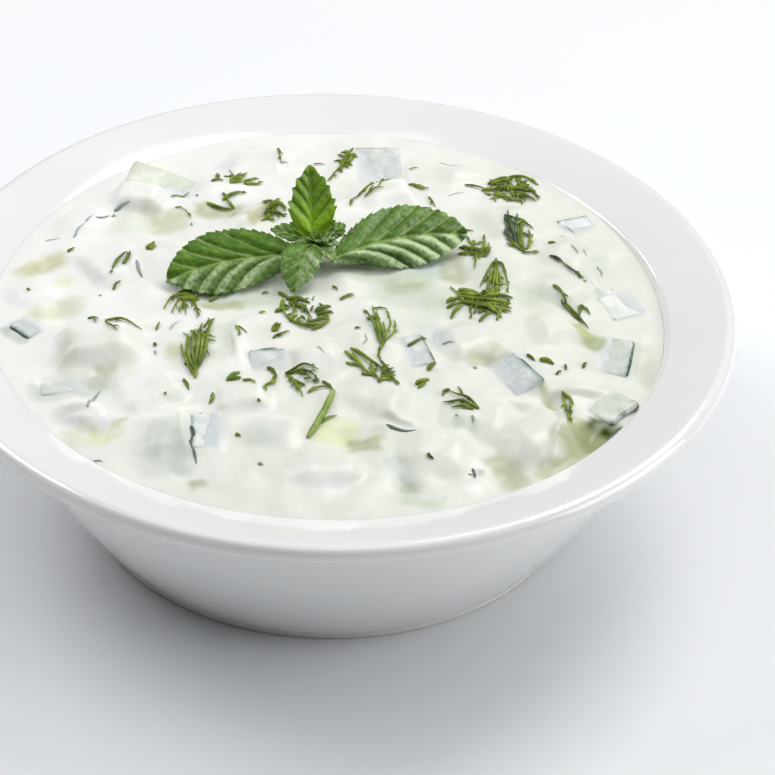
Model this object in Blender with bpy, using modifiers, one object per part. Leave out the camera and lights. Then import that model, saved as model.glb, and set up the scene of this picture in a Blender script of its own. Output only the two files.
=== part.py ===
"""Tzatziki: a wide-rimmed ceramic bowl filled with chunky cucumber yogurt, with a sprig of mint on it.

Metres, +Z up. The origin is on the table, in the middle of the bowl's foot. The bowl is a turned
shape. The dip is one heaped solid that fills it, with the pieces of cucumber under its skin showing
as lumps. The pieces that lie bare are solids of their own, let into the dip, and the sprig of mint
is a short stem with six leaves.
"""

import math

import bmesh
import bpy
from mathutils import Matrix, Vector

MM = 0.001
GAP = 0.3 * MM  # air between neighbouring solids

# The bowl
RIM_RADIUS = 80 * MM
BOWL_HEIGHT = 46 * MM
RIM_THICKNESS = 4 * MM
MOUTH_RADIUS = 65.8 * MM  # the narrowest place, where the rim turns down into the bowl
RIM_RISE = 2.9 * MM  # how far the rim climbs from the mouth to its lip
WALL = 4.2 * MM
FOOT_RADIUS = 49 * MM
WALL_TOP = 41.5 * MM
WALL_CURVE = 1.45  # above 1 the side flares at the foot and steepens as it rises
FLOOR = 6 * MM
CORNER = 8 * MM  # radius between floor and side, inside
FOOT_HEIGHT = 2.6 * MM
FOOT_GROOVE = 1.3 * MM
FOOT_WIDTH = 4.3 * MM
FOOT_RECESS = 1.5 * MM
BOWL_STEPS = 48

# The dip
DIP_RADIUS = 65.1 * MM
DIP_EDGE = 42.7 * MM  # height of the dip where it meets the side
DIP_DOME = 4.3 * MM  # how much higher its middle is
DIP_LEAN = 0.9 * MM  # it is fuller on the -X side
EDGE_DIP = 1.9 * MM  # the edge is this much lower where it is lowest
EDGE_DIP_TURN = math.radians(-12)  # that way from +X
EDGE_DIP_SPREAD = 0.8  # radians
DIP_CELLS = 36
DIP_RINGS = (38 * MM, 30 * MM, 18 * MM, 10 * MM)
SHOULDER = 2.6 * MM  # width of the slope round a covered piece of cucumber, and more by its size
LUMP_BLEND = 2.5  # how sharply one lump meets the next, per millimetre

# Pieces of cucumber under the yogurt: x, y, length, width, turn in degrees, rise, and how much
# higher one end of the top lies than its middle. All in millimetres.
LUMPS = (
    (-46, -17, 17, 11, 6, 3.2, 0.5),
    (-40, 37, 12, 6, -8, 2.4, 0.6),
    (-52, 30, 9, 6, 40, 1.6, 0.3),
    (-44, 11, 12, 8, 20, 2.0, -0.4),
    (-60, 3, 8, 6, 30, 1.2, 0.0),
    (-34, -32, 13, 6, 25, 1.8, 0.5),
    (-48, -37, 9, 5, -20, 1.8, 0.0),
    (-31, -44.5, 9, 11, 4, 2.0, 0.4),
    (-29, -16, 8, 8, 35, 1.2, 0.0),
    (-17, -34, 9, 6, 15, 1.6, 0.3),
    (-3, -23, 9, 7, 20, 2.0, 0.3),
    (-1, -54, 13, 6, 0, 1.8, 0.0),
    (-10, -43, 7, 6, -15, 1.0, 0.0),
    (6, -13, 7, 7, 30, 1.4, 0.3),
    (9, -32, 9, 8, -25, 1.5, 0.2),
    (20, -47, 11, 8, -10, 1.8, 0.0),
    (28, -37, 10, 8, -12, 1.6, 0.3),
    (27, -13, 9, 7, 25, 1.6, -0.3),
    (40, -41, 12, 13, -50, 2.9, 0.5),
    (44, -6, 9, 7, 35, 1.6, 0.0),
    (46, 8, 9, 7, -40, 1.8, 0.3),
    (48, 21, 8, 8, -30, 1.6, 0.0),
    (36, 31, 11, 8, 15, 1.9, 0.3),
    (40, 46, 9, 6, -40, 1.4, 0.0),
    (27, 50, 10, 7, 10, 1.3, 0.0),
    (12, 38, 14, 7, 12, 2.4, 0.3),
    (-24, 41, 9, 6, 20, 1.4, 0.0),
    (-16, 52, 11, 8, 0, 1.2, 0.3),
    (33, 8, 7, 9, 5, 1.4, 0.0),
)

# Hollows between them: x, y, radius and depth in millimetres
HOLLOWS = (
    (-57, 14, 6, 1.2),
    (-53, -4, 6, 1.6),
    (-44, -43, 6, 1.2),
    (-35, 26, 8, 1.8),
    (-21, -2, 9, 1.6),
    (-28, 3, 10, 1.5),
    (-12, 0, 9, 1.0),
    (-24, 31, 6, 1.0),
    (10, 5, 9, 1.0),
    (4, -45, 6, 1.2),
    (34, -54, 6, 1.8),
    (50, -41, 7, 3.4),
    (50, -9, 3.5, 1.2),
    (15, -2, 8, 0.8),
    (62, -16, 6, 1.6),
    (58, 20, 7, 0.8),
    (25, 10, 5, 1.5),
    (43, -29, 4, 1.6),
    (27, -52.5, 1.5, 1.0),
    (35, -32.5, 4, 1.2),
    (-28.5, -48, 4.5, 1.0),
    (14, -56, 4, 1.0),
    (-26, -55, 3, 0.5),
    (18, 12, 6, 0.6),
)

# Bare pieces: name, x, y, length, width, turn, lean along the length, lean across it, and how far
# the middle of the top stands proud of the dip. Millimetres and degrees.
BARE_PIECES = (
    ("cucumber_far", 9.0, 52.0, 13.5, 9.5, 92, 5, 0, 0.6),
    ("cucumber_far_left", -35.8, 43.2, 14, 6.5, -14, -13, 14, 1.5),
    ("cucumber_far_right", 50.0, 33.2, 7.5, 4.5, 28, -4, 12, 0.7),
    ("cucumber_left", -51.1, -28.6, 9, 4.5, 3, 0, -8, 0.4),
    ("cucumber_left_edge", -60, -8.5, 6, 4, -45, 0, 4, 0.4),
    ("cucumber_left_front", -23.6, -43.3, 5.5, 11, 4, -5, 0, 0.6),
    ("cucumber_mid_left", -12.2, -22.4, 7, 6.5, 6, 0, 12, 0.4),
    ("cucumber_middle", 16.4, -17.6, 5, 10.5, 16, 6, 0, 0.4),
    ("cucumber_cube", 35.4, -22.6, 11.5, 6.5, -62, 4, 22, 0.9),
    ("cucumber_right", 55.6, -12.8, 6, 10.5, -12, 0, 8, 0.6),
    ("cucumber_rim", 53.2, -28.7, 8.5, 4.5, 50, 2, -4, 1.0),
    ("cucumber_round", 58, 5.2, 8, 8, 24, -6, 4, 0.5),
)
PIECE_DEPTH = 7 * MM
PIECE_ROUNDING = 0.5 * MM

# The sprig of mint
LEAF_THICKNESS = 0.5 * MM
LEAF_STATIONS = 8  # along a leaf
LEAF_LANES = 2  # across each half
STEM_RADIUS = 0.8 * MM
STEM_PLACE = (-3.6 * MM, 11.6 * MM)
STEM_TOP = 51.2 * MM


def clear_scene():
    for thing in list(bpy.data.objects):
        bpy.data.objects.remove(thing)


def collection(name):
    made = bpy.data.collections.new(name)
    bpy.context.scene.collection.children.link(made)
    return made


def material(name, colour, roughness, **sockets):
    made = bpy.data.materials.new(name)
    made.use_nodes = True
    made.diffuse_color = (*colour, 1)
    shader = made.node_tree.nodes["Principled BSDF"]
    shader.inputs["Base Color"].default_value = (*colour, 1)
    shader.inputs["Roughness"].default_value = roughness
    for socket, value in sockets.items():
        shader.inputs[socket.replace("_", " ")].default_value = value
    return made


def keep(name, bm, finish, group, smooth=True):
    """Turns a bmesh into a named object with its material."""
    bmesh.ops.recalc_face_normals(bm, faces=bm.faces)
    mesh = bpy.data.meshes.new(name)
    bm.to_mesh(mesh)
    bm.free()
    if smooth:
        mesh.shade_smooth()
        mesh.set_sharp_from_angle(angle=math.radians(40))
    if finish:
        mesh.materials.append(finish)
    made = bpy.data.objects.new(name, mesh)
    group.objects.link(made)
    return made


# ---------------------------------------------------------------- the bowl


def wall_radius(z):
    """Outer radius of the bowl's side at a height."""
    left = 1 - min(max(z / WALL_TOP, 0), 1)
    return FOOT_RADIUS + (MOUTH_RADIUS + WALL - FOOT_RADIUS) * (1 - left**WALL_CURVE)


def inner_radius(z):
    return wall_radius(z) - WALL


def arc(centre, radius, start, end, steps):
    """Points (r, z) on an arc; angles in degrees from the outward direction."""
    turns = [math.radians(start + (end - start) * i / steps) for i in range(steps + 1)]
    return [(centre[0] + radius * math.cos(a), centre[1] + radius * math.sin(a)) for a in turns]


def side(radius_at, low, high, steps):
    """Points (r, z) down a side, from high to low."""
    heights = [high + (low - high) * i / steps for i in range(steps + 1)]
    return [(radius_at(z), z) for z in heights]


def bowl_profile():
    """From the middle of the floor, up the inside, over the rim and down the outside to the axis."""
    round_r = RIM_THICKNESS / 2
    mouth = (MOUTH_RADIUS + round_r, BOWL_HEIGHT - RIM_RISE - round_r)
    lip = (RIM_RADIUS - round_r, BOWL_HEIGHT - round_r)
    slope = math.degrees(math.atan2(lip[1] - mouth[1], lip[0] - mouth[0]))

    corner_end = 32  # degrees below the outward direction, where the side takes over
    turn_in = math.radians(corner_end)
    corner_z = FLOOR + CORNER
    join_z = corner_z - CORNER * math.sin(turn_in)
    corner = (inner_radius(join_z) - CORNER * math.cos(turn_in), corner_z)

    inside = [(0, FLOOR)] + arc(corner, CORNER, -90, -corner_end, 3)
    inside += side(inner_radius, join_z, mouth[1], 5)[::-1][1:-1]
    rim = arc(mouth, round_r, 180, 90 + slope, 2) + arc(lip, round_r, 90 + slope, slope - 90, 6)

    under_r, under_z = rim[-1]
    fillet_r = wall_radius(WALL_TOP - 2 * round_r) + round_r
    reach = under_r - (fillet_r + round_r * math.cos(math.radians(90 + slope)))
    fillet_top = under_z - reach * math.tan(math.radians(slope))
    fillet = (fillet_r, fillet_top - round_r * math.sin(math.radians(90 + slope)))
    outside = arc(fillet, round_r, 90 + slope, 180, 2) + side(wall_radius, FOOT_HEIGHT, fillet[1], 6)[1:]

    ring = wall_radius(FOOT_HEIGHT) - FOOT_GROOVE
    edge = 0.5 * MM
    foot = [(ring, FOOT_HEIGHT - edge), (ring, edge), (ring - edge, 0)]
    foot += [(ring - FOOT_WIDTH, 0), (ring - FOOT_WIDTH - edge, FOOT_RECESS), (0, FOOT_RECESS)]
    return inside + rim + outside + foot


def make_bowl(finish, group):
    """The profile turned about the bowl's axis."""
    bm = bmesh.new()
    points = [bm.verts.new((r, 0, z)) for r, z in bowl_profile()]
    for first, second in zip(points, points[1:]):
        bm.edges.new((first, second))
    mesh = bpy.data.meshes.new("bowl")
    bm.to_mesh(mesh)
    bm.free()
    mesh.materials.append(finish)
    bowl = bpy.data.objects.new("bowl", mesh)
    group.objects.link(bowl)
    turn = bowl.modifiers.new("turn", "SCREW")
    turn.steps = turn.render_steps = BOWL_STEPS
    turn.use_merge_vertices = True
    turn.merge_threshold = 0.00005
    turn.use_smooth_shade = True
    return bowl


# ---------------------------------------------------------------- the dip


def ease(share):
    share = min(max(share, 0), 1)
    return share * share * (3 - 2 * share)


def lump_rise(x, y, lump):
    """How far one covered piece lifts the surface at a point, in millimetres."""
    cx, cy, length, width, turn, rise, tip = lump
    dx, dy = x / MM - cx, y / MM - cy
    c, s = math.cos(math.radians(turn)), math.sin(math.radians(turn))
    along, across = c * dx + s * dy, c * dy - s * dx
    past = math.hypot(max(abs(along) - length / 4, 0), max(abs(across) - width / 4, 0))
    top = rise + tip * max(-1, min(1, along / (length / 2)))
    return top * (1 - ease(past / (SHOULDER / MM + 0.3 * min(length, width))))


def dip_height(x, y):
    """Height of the dip's surface: a low dome, lifted by the covered pieces and sunk between them."""
    out = math.hypot(x, y) / DIP_RADIUS
    away = math.remainder(math.atan2(y, x) - EDGE_DIP_TURN, math.tau)
    edge = DIP_EDGE - EDGE_DIP * math.exp(-((away / EDGE_DIP_SPREAD) ** 2))
    level = edge * out * out + (DIP_EDGE + DIP_DOME) * (1 - out * out)
    level -= DIP_LEAN * x / DIP_RADIUS * 4 * out * (1 - out)
    total = 1 + sum(math.exp(LUMP_BLEND * lump_rise(x, y, lump)) - 1 for lump in LUMPS)
    lift = math.log(total) / LUMP_BLEND * MM
    for cx, cy, radius, depth in HOLLOWS:
        share = math.hypot(x / MM - cx, y / MM - cy) / radius
        lift -= depth * MM * (1 - ease(share))
    return level + lift * ease((1 - out) * 7 + 0.12)


def onto_disc(u, v):
    """Carries a square of side 2 onto a disc of radius 1 without bunching its cells."""
    return u * math.sqrt(1 - v * v / 2), v * math.sqrt(1 - u * u / 2)


def make_dip(finish, group):
    """The heaped surface, carried down the inside of the bowl and closed over its floor."""
    bm = bmesh.new()
    bmesh.ops.create_grid(bm, x_segments=DIP_CELLS, y_segments=DIP_CELLS, size=1)
    for vert in bm.verts:
        x, y = (DIP_RADIUS * part for part in onto_disc(vert.co.x, vert.co.y))
        vert.co = (x, y, dip_height(x, y))
    edge = [e for e in bm.edges if e.is_boundary]
    rings = [(inner_radius(z) - 2 * GAP, z) for z in DIP_RINGS]
    floor_r = inner_radius(DIP_RINGS[-1]) - CORNER * 0.8
    for radius, height in rings + [(floor_r, FLOOR + GAP)]:
        made = bmesh.ops.extrude_edge_only(bm, edges=edge)["geom"]
        edge = [e for e in made if isinstance(e, bmesh.types.BMEdge)]
        for vert in (v for v in made if isinstance(v, bmesh.types.BMVert)):
            flat = Vector((vert.co.x, vert.co.y, 0)).normalized() * radius
            vert.co = (flat.x, flat.y, height)
    bmesh.ops.contextual_create(bm, geom=edge)
    return keep("dip", bm, finish, group)


# ---------------------------------------------------------------- bare cucumber


def piece_mesh(length, width, grow=0.0):
    """A rounded block with its top face's middle at the origin; grow makes a larger one round it."""
    bm = bmesh.new()
    bmesh.ops.create_cube(bm, size=1)
    size = Vector((length * MM, width * MM, PIECE_DEPTH)) + Vector((2 * grow,) * 3)
    bmesh.ops.scale(bm, vec=size, verts=bm.verts)
    bmesh.ops.translate(bm, vec=(0, 0, -PIECE_DEPTH / 2), verts=bm.verts)
    bmesh.ops.bevel(bm, geom=bm.edges, offset=PIECE_ROUNDING, segments=1, profile=0.5,
                    affect="EDGES", material=-1)
    return bm


def piece_place(x, y, turn, lean, roll, proud):
    """Where the middle of a bare piece's top sits, and how it lies in the dip."""
    top = Vector((x * MM, y * MM, dip_height(x * MM, y * MM) + proud * MM))
    lie = Matrix.Rotation(math.radians(turn), 4, "Z")
    lie @= Matrix.Rotation(math.radians(-lean), 4, "Y") @ Matrix.Rotation(math.radians(roll), 4, "X")
    return Matrix.Translation(top) @ lie


def make_bare_pieces(finish, group, cutters):
    """Each bare piece, and a slightly larger copy that cuts its bed in the dip."""
    for name, x, y, length, width, turn, lean, roll, proud in BARE_PIECES:
        place = piece_place(x, y, turn, lean, roll, proud)
        piece = keep(name, piece_mesh(length, width), finish, group)
        piece.matrix_world = place
        cutter = keep(name + "_bed", piece_mesh(length, width, GAP), None, cutters, smooth=False)
        cutter.matrix_world = place
        cutter.hide_render = True
        cutter.display_type = "WIRE"


def cut_beds(dip, cutters):
    cut = dip.modifiers.new("beds", "BOOLEAN")
    cut.operation = "DIFFERENCE"
    cut.solver = "EXACT"
    cut.operand_type = "COLLECTION"
    cut.collection = cutters


# ---------------------------------------------------------------- the mint


def leaf_half_width(share, width, widest, blunt):
    """Half a leaf's width at a share of its length; widest is the share where it peaks."""
    power = math.log(0.5) / math.log(widest)
    swell = max(math.sin(math.pi * share**power), 0) ** blunt
    return max(width / 2 * swell, 0.35)


def leaf_frame(heading, pitch, bank):
    """Along, left and up directions of a leaf where it runs at these angles, in degrees."""
    h, p, b = (math.radians(angle) for angle in (heading, pitch, bank))
    along = Vector((math.cos(h) * math.cos(p), math.sin(h) * math.cos(p), math.sin(p)))
    left = Matrix.Rotation(b, 3, along) @ Vector((-math.sin(h), math.cos(h), 0))
    return along, left, along.cross(left)


def make_leaf(name, finish, group, base, heading, turn, length, width, pitch, bank, fold,
              widest, blunt):
    """A blade whose midrib turns and droops from base to tip; fold lifts its left and right halves.

    pitch and bank are pairs, at the base and at the tip. Lengths are in millimetres.
    """
    middle = Vector(base)
    midrib = []
    for station in range(LEAF_STATIONS + 1):
        share = station / LEAF_STATIONS
        along, left, up = leaf_frame(heading + turn * share,
                                     pitch[0] + (pitch[1] - pitch[0]) * share,
                                     bank[0] + (bank[1] - bank[0]) * share)
        if station:
            middle = middle + along * (length / LEAF_STATIONS)
        midrib.append((middle, left, up, leaf_half_width(share, width, widest, blunt)))

    bm = bmesh.new()
    bmesh.ops.create_grid(bm, x_segments=LEAF_STATIONS, y_segments=2 * LEAF_LANES, size=1)
    for vert in bm.verts:
        middle, left, up, half = midrib[round((vert.co.x + 1) / 2 * LEAF_STATIONS)]
        across = vert.co.y * half
        lift = math.radians(fold[0] if across > 0 else fold[1])
        vert.co = (middle + left * across * math.cos(lift) + up * abs(across) * math.sin(lift)) * MM
    leaf = keep(name, bm, finish, group)
    thick = leaf.modifiers.new("thickness", "SOLIDIFY")
    thick.thickness = LEAF_THICKNESS
    thick.offset = 0
    thick.use_even_offset = True
    return leaf


def make_mint(finish, group):
    """Two long side leaves, one that stands up behind, one drooping in front and two small ones."""
    make_leaf("mint_leaf_left", finish, group, base=(-6.0, 9.0, 50.4), heading=181, turn=24,
              length=27.8, width=13.6, pitch=(3, -12), bank=(-22, -32), fold=(-4, 4),
              widest=0.55, blunt=0.62)
    make_leaf("mint_leaf_right", finish, group, base=(-0.4, 8.1, 50.1), heading=38, turn=-34,
              length=29.6, width=13.4, pitch=(6, -6), bank=(26, 34), fold=(2, -6),
              widest=0.56, blunt=0.66)
    make_leaf("mint_leaf_top", finish, group, base=(-4.2, 13.2, 51.5), heading=96, turn=4,
              length=14.8, width=9.8, pitch=(60, 66), bank=(0, 0), fold=(16, 16),
              widest=0.40, blunt=0.7)
    make_leaf("mint_leaf_front", finish, group, base=(-4.7, 10.4, 52.2), heading=250, turn=6,
              length=12.0, width=8.6, pitch=(-4, -43), bank=(0, 0), fold=(14, 14),
              widest=0.42, blunt=0.7)
    make_leaf("mint_leaf_small_left", finish, group, base=(-5.6, 13.4, 51.2), heading=162, turn=0,
              length=7.5, width=5.0, pitch=(14, 0), bank=(-10, -10), fold=(15, 15),
              widest=0.45, blunt=0.8)
    make_leaf("mint_leaf_small_right", finish, group, base=(-1.8, 13.6, 51.3), heading=44, turn=0,
              length=5.6, width=4.6, pitch=(24, 0), bank=(10, 10), fold=(15, 15),
              widest=0.45, blunt=0.8)

    foot = dip_height(*STEM_PLACE) + 1.5 * GAP
    bm = bmesh.new()
    bmesh.ops.create_cone(bm, cap_ends=True, segments=10, radius1=STEM_RADIUS, radius2=STEM_RADIUS,
                          depth=STEM_TOP - foot)
    bmesh.ops.translate(bm, vec=(*STEM_PLACE, (STEM_TOP + foot) / 2), verts=bm.verts)
    keep("mint_stem", bm, finish, group)


def build():
    clear_scene()
    parts = collection("tzatziki")
    cutters = collection("cutters")
    glaze = material("glaze", (0.86, 0.87, 0.87), 0.12, Coat_Weight=0.4)
    yogurt = material("yogurt", (0.93, 0.94, 0.90), 0.32, Subsurface_Weight=0.2)
    cucumber = material("cucumber", (0.70, 0.78, 0.66), 0.25)
    mint = material("mint", (0.10, 0.24, 0.04), 0.45)

    make_bowl(glaze, parts)
    dip = make_dip(yogurt, parts)
    make_bare_pieces(cucumber, parts, cutters)
    cut_beds(dip, cutters)
    make_mint(mint, parts)


build()
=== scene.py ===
import math
import random

import bmesh
import bpy
import numpy as np
from mathutils import Matrix, Quaternion, Vector, noise


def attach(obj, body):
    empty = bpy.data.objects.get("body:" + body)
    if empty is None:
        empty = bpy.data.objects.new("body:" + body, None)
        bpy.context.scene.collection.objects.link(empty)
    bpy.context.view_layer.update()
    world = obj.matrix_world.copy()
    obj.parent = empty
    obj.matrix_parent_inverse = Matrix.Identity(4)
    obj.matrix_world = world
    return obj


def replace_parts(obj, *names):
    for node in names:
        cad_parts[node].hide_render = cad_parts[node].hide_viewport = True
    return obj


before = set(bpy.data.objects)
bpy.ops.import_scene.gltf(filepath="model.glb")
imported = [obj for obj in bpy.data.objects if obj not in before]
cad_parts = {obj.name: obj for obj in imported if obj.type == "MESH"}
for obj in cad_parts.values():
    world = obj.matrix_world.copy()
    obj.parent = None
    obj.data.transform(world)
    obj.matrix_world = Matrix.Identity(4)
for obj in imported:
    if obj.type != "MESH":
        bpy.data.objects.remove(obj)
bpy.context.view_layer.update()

# The table, the light and the camera.
# A pale matt table top under soft lights: the main one from the right and behind, one overhead and
# weaker ones from the sides. A long lens looks down on the bowl from the front.
MM = 0.001
TABLE_RADIUS = 6.0
VIEW_DISTANCE = 0.700
VIEW_TILT = math.radians(34.353)
VIEW_AIM = Vector((11.33, 0, 24.78)) * MM
VIEW_BASE = 46 * MM  # the view's distance and tilt are counted from this height
VIEW_ROLL = math.radians(1.688)
LENS_MM = 164.34
SENSOR_MM = 36.0


def principled(name, **sockets):
    """A material with one Principled shader; sockets are given by name, spaces as underscores."""
    made = bpy.data.materials.new(name)
    made.use_nodes = True
    shader = made.node_tree.nodes["Principled BSDF"]
    for socket, value in sockets.items():
        shader.inputs[socket.replace("_", " ")].default_value = value
    return made, made.node_tree.nodes, made.node_tree.links, shader


def noise_texture(nodes, links, scale, detail=2.0, roughness=0.5):
    """Noise on the piece's own coordinates; scale counts in patches to a metre."""
    place = nodes.new("ShaderNodeTexCoord")
    texture = nodes.new("ShaderNodeTexNoise")
    texture.inputs["Scale"].default_value = scale
    texture.inputs["Detail"].default_value = detail
    texture.inputs["Roughness"].default_value = roughness
    links.new(place.outputs["Object"], texture.inputs["Vector"])
    return texture.outputs["Fac"]


def ramp(nodes, links, source, stops):
    """A colour ramp on a value; stops are (position, colour)."""
    made = nodes.new("ShaderNodeValToRGB")
    while len(made.color_ramp.elements) < len(stops):
        made.color_ramp.elements.new(1.0)
    for element, (position, colour) in zip(made.color_ramp.elements, stops):
        element.position = position
        element.color = (*colour, 1)
    links.new(source, made.inputs["Fac"])
    return made.outputs["Color"]


def mottled(name, scale, detail, roughness, stops, **sockets):
    """A material whose colour changes in patches, along the stops of a ramp."""
    made, nodes, links, shader = principled(name, **sockets)
    patches = noise_texture(nodes, links, scale, detail, roughness)
    links.new(ramp(nodes, links, patches, stops), shader.inputs["Base Color"])
    return made


def piece(name, bm, finish, smooth_below=180):
    """Makes a finished bmesh into an object that stays at the origin."""
    mesh = bpy.data.meshes.new(name)
    bm.to_mesh(mesh)
    bm.free()
    mesh.shade_smooth()
    if smooth_below < 180:
        mesh.set_sharp_from_angle(angle=math.radians(smooth_below))
    mesh.materials.append(finish)
    made = bpy.data.objects.new(name, mesh)
    bpy.context.scene.collection.objects.link(made)
    return made


def area_light(name, place, aim, size, watts, colour):
    """A soft rectangular light that faces a point."""
    lamp = bpy.data.lights.new(name, "AREA")
    lamp.shape = "RECTANGLE"
    lamp.size, lamp.size_y = size
    lamp.energy = watts
    lamp.color = colour
    made = bpy.data.objects.new(name, lamp)
    made.location = place
    made.rotation_euler = (Vector(aim) - Vector(place)).to_track_quat("-Z", "Y").to_euler()
    bpy.context.scene.collection.objects.link(made)


table_paint = mottled("table_paint", 6.0, 2.0, 0.5,
                      ((0.3, (0.845, 0.86, 0.88)), (0.7, (0.875, 0.89, 0.905))), Roughness=0.7)
bm = bmesh.new()
bmesh.ops.create_circle(bm, cap_ends=True, segments=64, radius=TABLE_RADIUS)
table = piece("table", bm, table_paint)

world = bpy.data.worlds.new("studio")
bpy.context.scene.world = world
world.use_nodes = True
world.node_tree.nodes["Background"].inputs["Color"].default_value = (0.93, 0.95, 1.0, 1)
world.node_tree.nodes["Background"].inputs["Strength"].default_value = 0.09
area_light("key", (0.42, 0.48, 0.92), (0, 0, 0.03), (0.55, 0.55), 5.1, (1.0, 0.985, 0.96))
area_light("overhead", (-0.1, -0.1, 1.1), (0, 0, 0.03), (1.0, 1.0), 4.5, (0.96, 0.98, 1.0))
area_light("side", (0.80, -0.12, 0.34), (0, 0, 0.02), (0.60, 0.50), 3.5, (0.98, 0.99, 1.0))
area_light("left", (-0.55, 0.25, 0.65), (0, 0, 0.03), (0.40, 0.40), 2.3, (1.0, 1.0, 1.0))
area_light("glint", (-0.47, 0.65, 0.60), (0, 0, 0.04), (0.12, 0.20), 0.5, (1.0, 1.0, 1.0))

lens = bpy.data.cameras.new("camera")
lens.sensor_width = SENSOR_MM
lens.lens = LENS_MM
lens.clip_start = 0.01
lens.clip_end = 20
camera = bpy.data.objects.new("camera", lens)
camera.location = (0, -VIEW_DISTANCE * math.cos(VIEW_TILT),
                   VIEW_BASE + VIEW_DISTANCE * math.sin(VIEW_TILT))
look = (VIEW_AIM - camera.location).to_track_quat("-Z", "Y") @ Quaternion((0, 0, 1), VIEW_ROLL)
camera.rotation_euler = look.to_euler()
bpy.context.scene.collection.objects.link(camera)
bpy.context.scene.camera = camera
bpy.context.scene.view_settings.view_transform = "Standard"

# The bowl.
# White stoneware turned on a wheel: a broad rim that slopes to the mouth, a side that curves in to a
# foot ring. It is dipped in clear gloss glaze, which is wiped off the ring it stands on.
RIM_RADIUS = 80 * MM
BOWL_HEIGHT = 46 * MM
RIM_THICKNESS = 4 * MM
MOUTH_RADIUS = 65.8 * MM
RIM_RISE = 2.9 * MM
WALL = 4.2 * MM
FOOT_RADIUS = 49 * MM
WALL_TOP = 41.5 * MM
WALL_CURVE = 1.45
FLOOR = 6 * MM
CORNER = 8 * MM
FOOT_HEIGHT = 2.6 * MM
FOOT_GROOVE = 1.3 * MM
FOOT_WIDTH = 4.3 * MM
FOOT_RECESS = 1.5 * MM
EDGE_ROUND = 0.5 * MM
CORNER_END = 32  # degrees: the rounded corner of the floor meets the side this far from level
BOWL_STEPS = 192
GLAZE_LINE = 0.5 * MM  # the glaze stops this far above the table
BARE_CLAY = (0.70, 0.66, 0.60)

LIP_ROUND = RIM_THICKNESS / 2
MOUTH_ROUND = (MOUTH_RADIUS + LIP_ROUND, BOWL_HEIGHT - RIM_RISE - LIP_ROUND)
LIP_CENTRE = (RIM_RADIUS - LIP_ROUND, BOWL_HEIGHT - LIP_ROUND)


def wall_radius(z):
    """Outer radius of the bowl's side at a height."""
    left = 1 - min(max(z / WALL_TOP, 0), 1)
    return FOOT_RADIUS + (MOUTH_RADIUS + WALL - FOOT_RADIUS) * (1 - left**WALL_CURVE)


def inner_radius(z):
    """Inner radius of the bowl's side at a height."""
    return wall_radius(z) - WALL


def arc(centre, radius, start, end, steps):
    """Points (r, z) on an arc; angles in degrees from the outward direction."""
    turns = [math.radians(start + (end - start) * i / steps) for i in range(steps + 1)]
    return [(centre[0] + radius * math.cos(a), centre[1] + radius * math.sin(a)) for a in turns]


def bowl_profile():
    """From the middle of the floor, up the inside, over the rim and down the outside to the axis."""
    slope = math.degrees(math.atan2(LIP_CENTRE[1] - MOUTH_ROUND[1], LIP_CENTRE[0] - MOUTH_ROUND[0]))
    turn_in = math.radians(CORNER_END)
    join_z = FLOOR + CORNER - CORNER * math.sin(turn_in)
    corner = (inner_radius(join_z) - CORNER * math.cos(turn_in), FLOOR + CORNER)
    inside = [(0, FLOOR)] + arc(corner, CORNER, -90, -CORNER_END, 8)
    inside += [(inner_radius(z), z) for z in np.linspace(join_z, MOUTH_ROUND[1], 16)[1:-1]]
    rim = arc(MOUTH_ROUND, LIP_ROUND, 180, 90 + slope, 8)
    rim += arc(LIP_CENTRE, LIP_ROUND, 90 + slope, slope - 90, 20)

    under_r, under_z = rim[-1]
    fillet_r = wall_radius(WALL_TOP - 2 * LIP_ROUND) + LIP_ROUND
    reach = under_r - (fillet_r + LIP_ROUND * math.cos(math.radians(90 + slope)))
    fillet_top = under_z - reach * math.tan(math.radians(slope))
    fillet = (fillet_r, fillet_top - LIP_ROUND * math.sin(math.radians(90 + slope)))
    outside = arc(fillet, LIP_ROUND, 90 + slope, 180, 8)
    outside += [(wall_radius(z), z) for z in np.linspace(fillet[1], FOOT_HEIGHT, 20)[1:]]

    ring = wall_radius(FOOT_HEIGHT) - FOOT_GROOVE
    foot = arc((ring + EDGE_ROUND, FOOT_HEIGHT - EDGE_ROUND), EDGE_ROUND, 90, 180, 4)
    foot += arc((ring - EDGE_ROUND, EDGE_ROUND), EDGE_ROUND, 0, -90, 4)
    foot += arc((ring - FOOT_WIDTH + EDGE_ROUND, EDGE_ROUND), EDGE_ROUND, -90, -180, 4)
    foot += [(ring - FOOT_WIDTH, FOOT_RECESS), (0, FOOT_RECESS)]
    return inside + rim + outside + foot


def span(nodes, links, source, low, high, to_low, to_high):
    """Carries a value from one range to another."""
    made = nodes.new("ShaderNodeMapRange")
    for socket, value in zip(("From Min", "From Max", "To Min", "To Max"),
                             (low, high, to_low, to_high)):
        made.inputs[socket].default_value = value
    links.new(source, made.inputs["Value"])
    return made.outputs["Result"]


def bump(nodes, links, shader, height, distance, strength):
    """Fine relief of a finish; the distance is in metres."""
    made = nodes.new("ShaderNodeBump")
    made.inputs["Strength"].default_value = strength
    made.inputs["Distance"].default_value = distance
    links.new(height, made.inputs["Height"])
    links.new(made.outputs["Normal"], shader.inputs["Normal"])


def blend_colours(nodes, links, share, first, second):
    """Mixes two colours; each may be a fixed colour or an output."""
    made = nodes.new("ShaderNodeMix")
    made.data_type = "RGBA"
    links.new(share, made.inputs["Factor"])
    for colour, socket in ((first, made.inputs[6]), (second, made.inputs[7])):
        if isinstance(colour, tuple):
            socket.default_value = (*colour, 1)
        else:
            links.new(colour, socket)
    return made.outputs[2]


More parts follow.
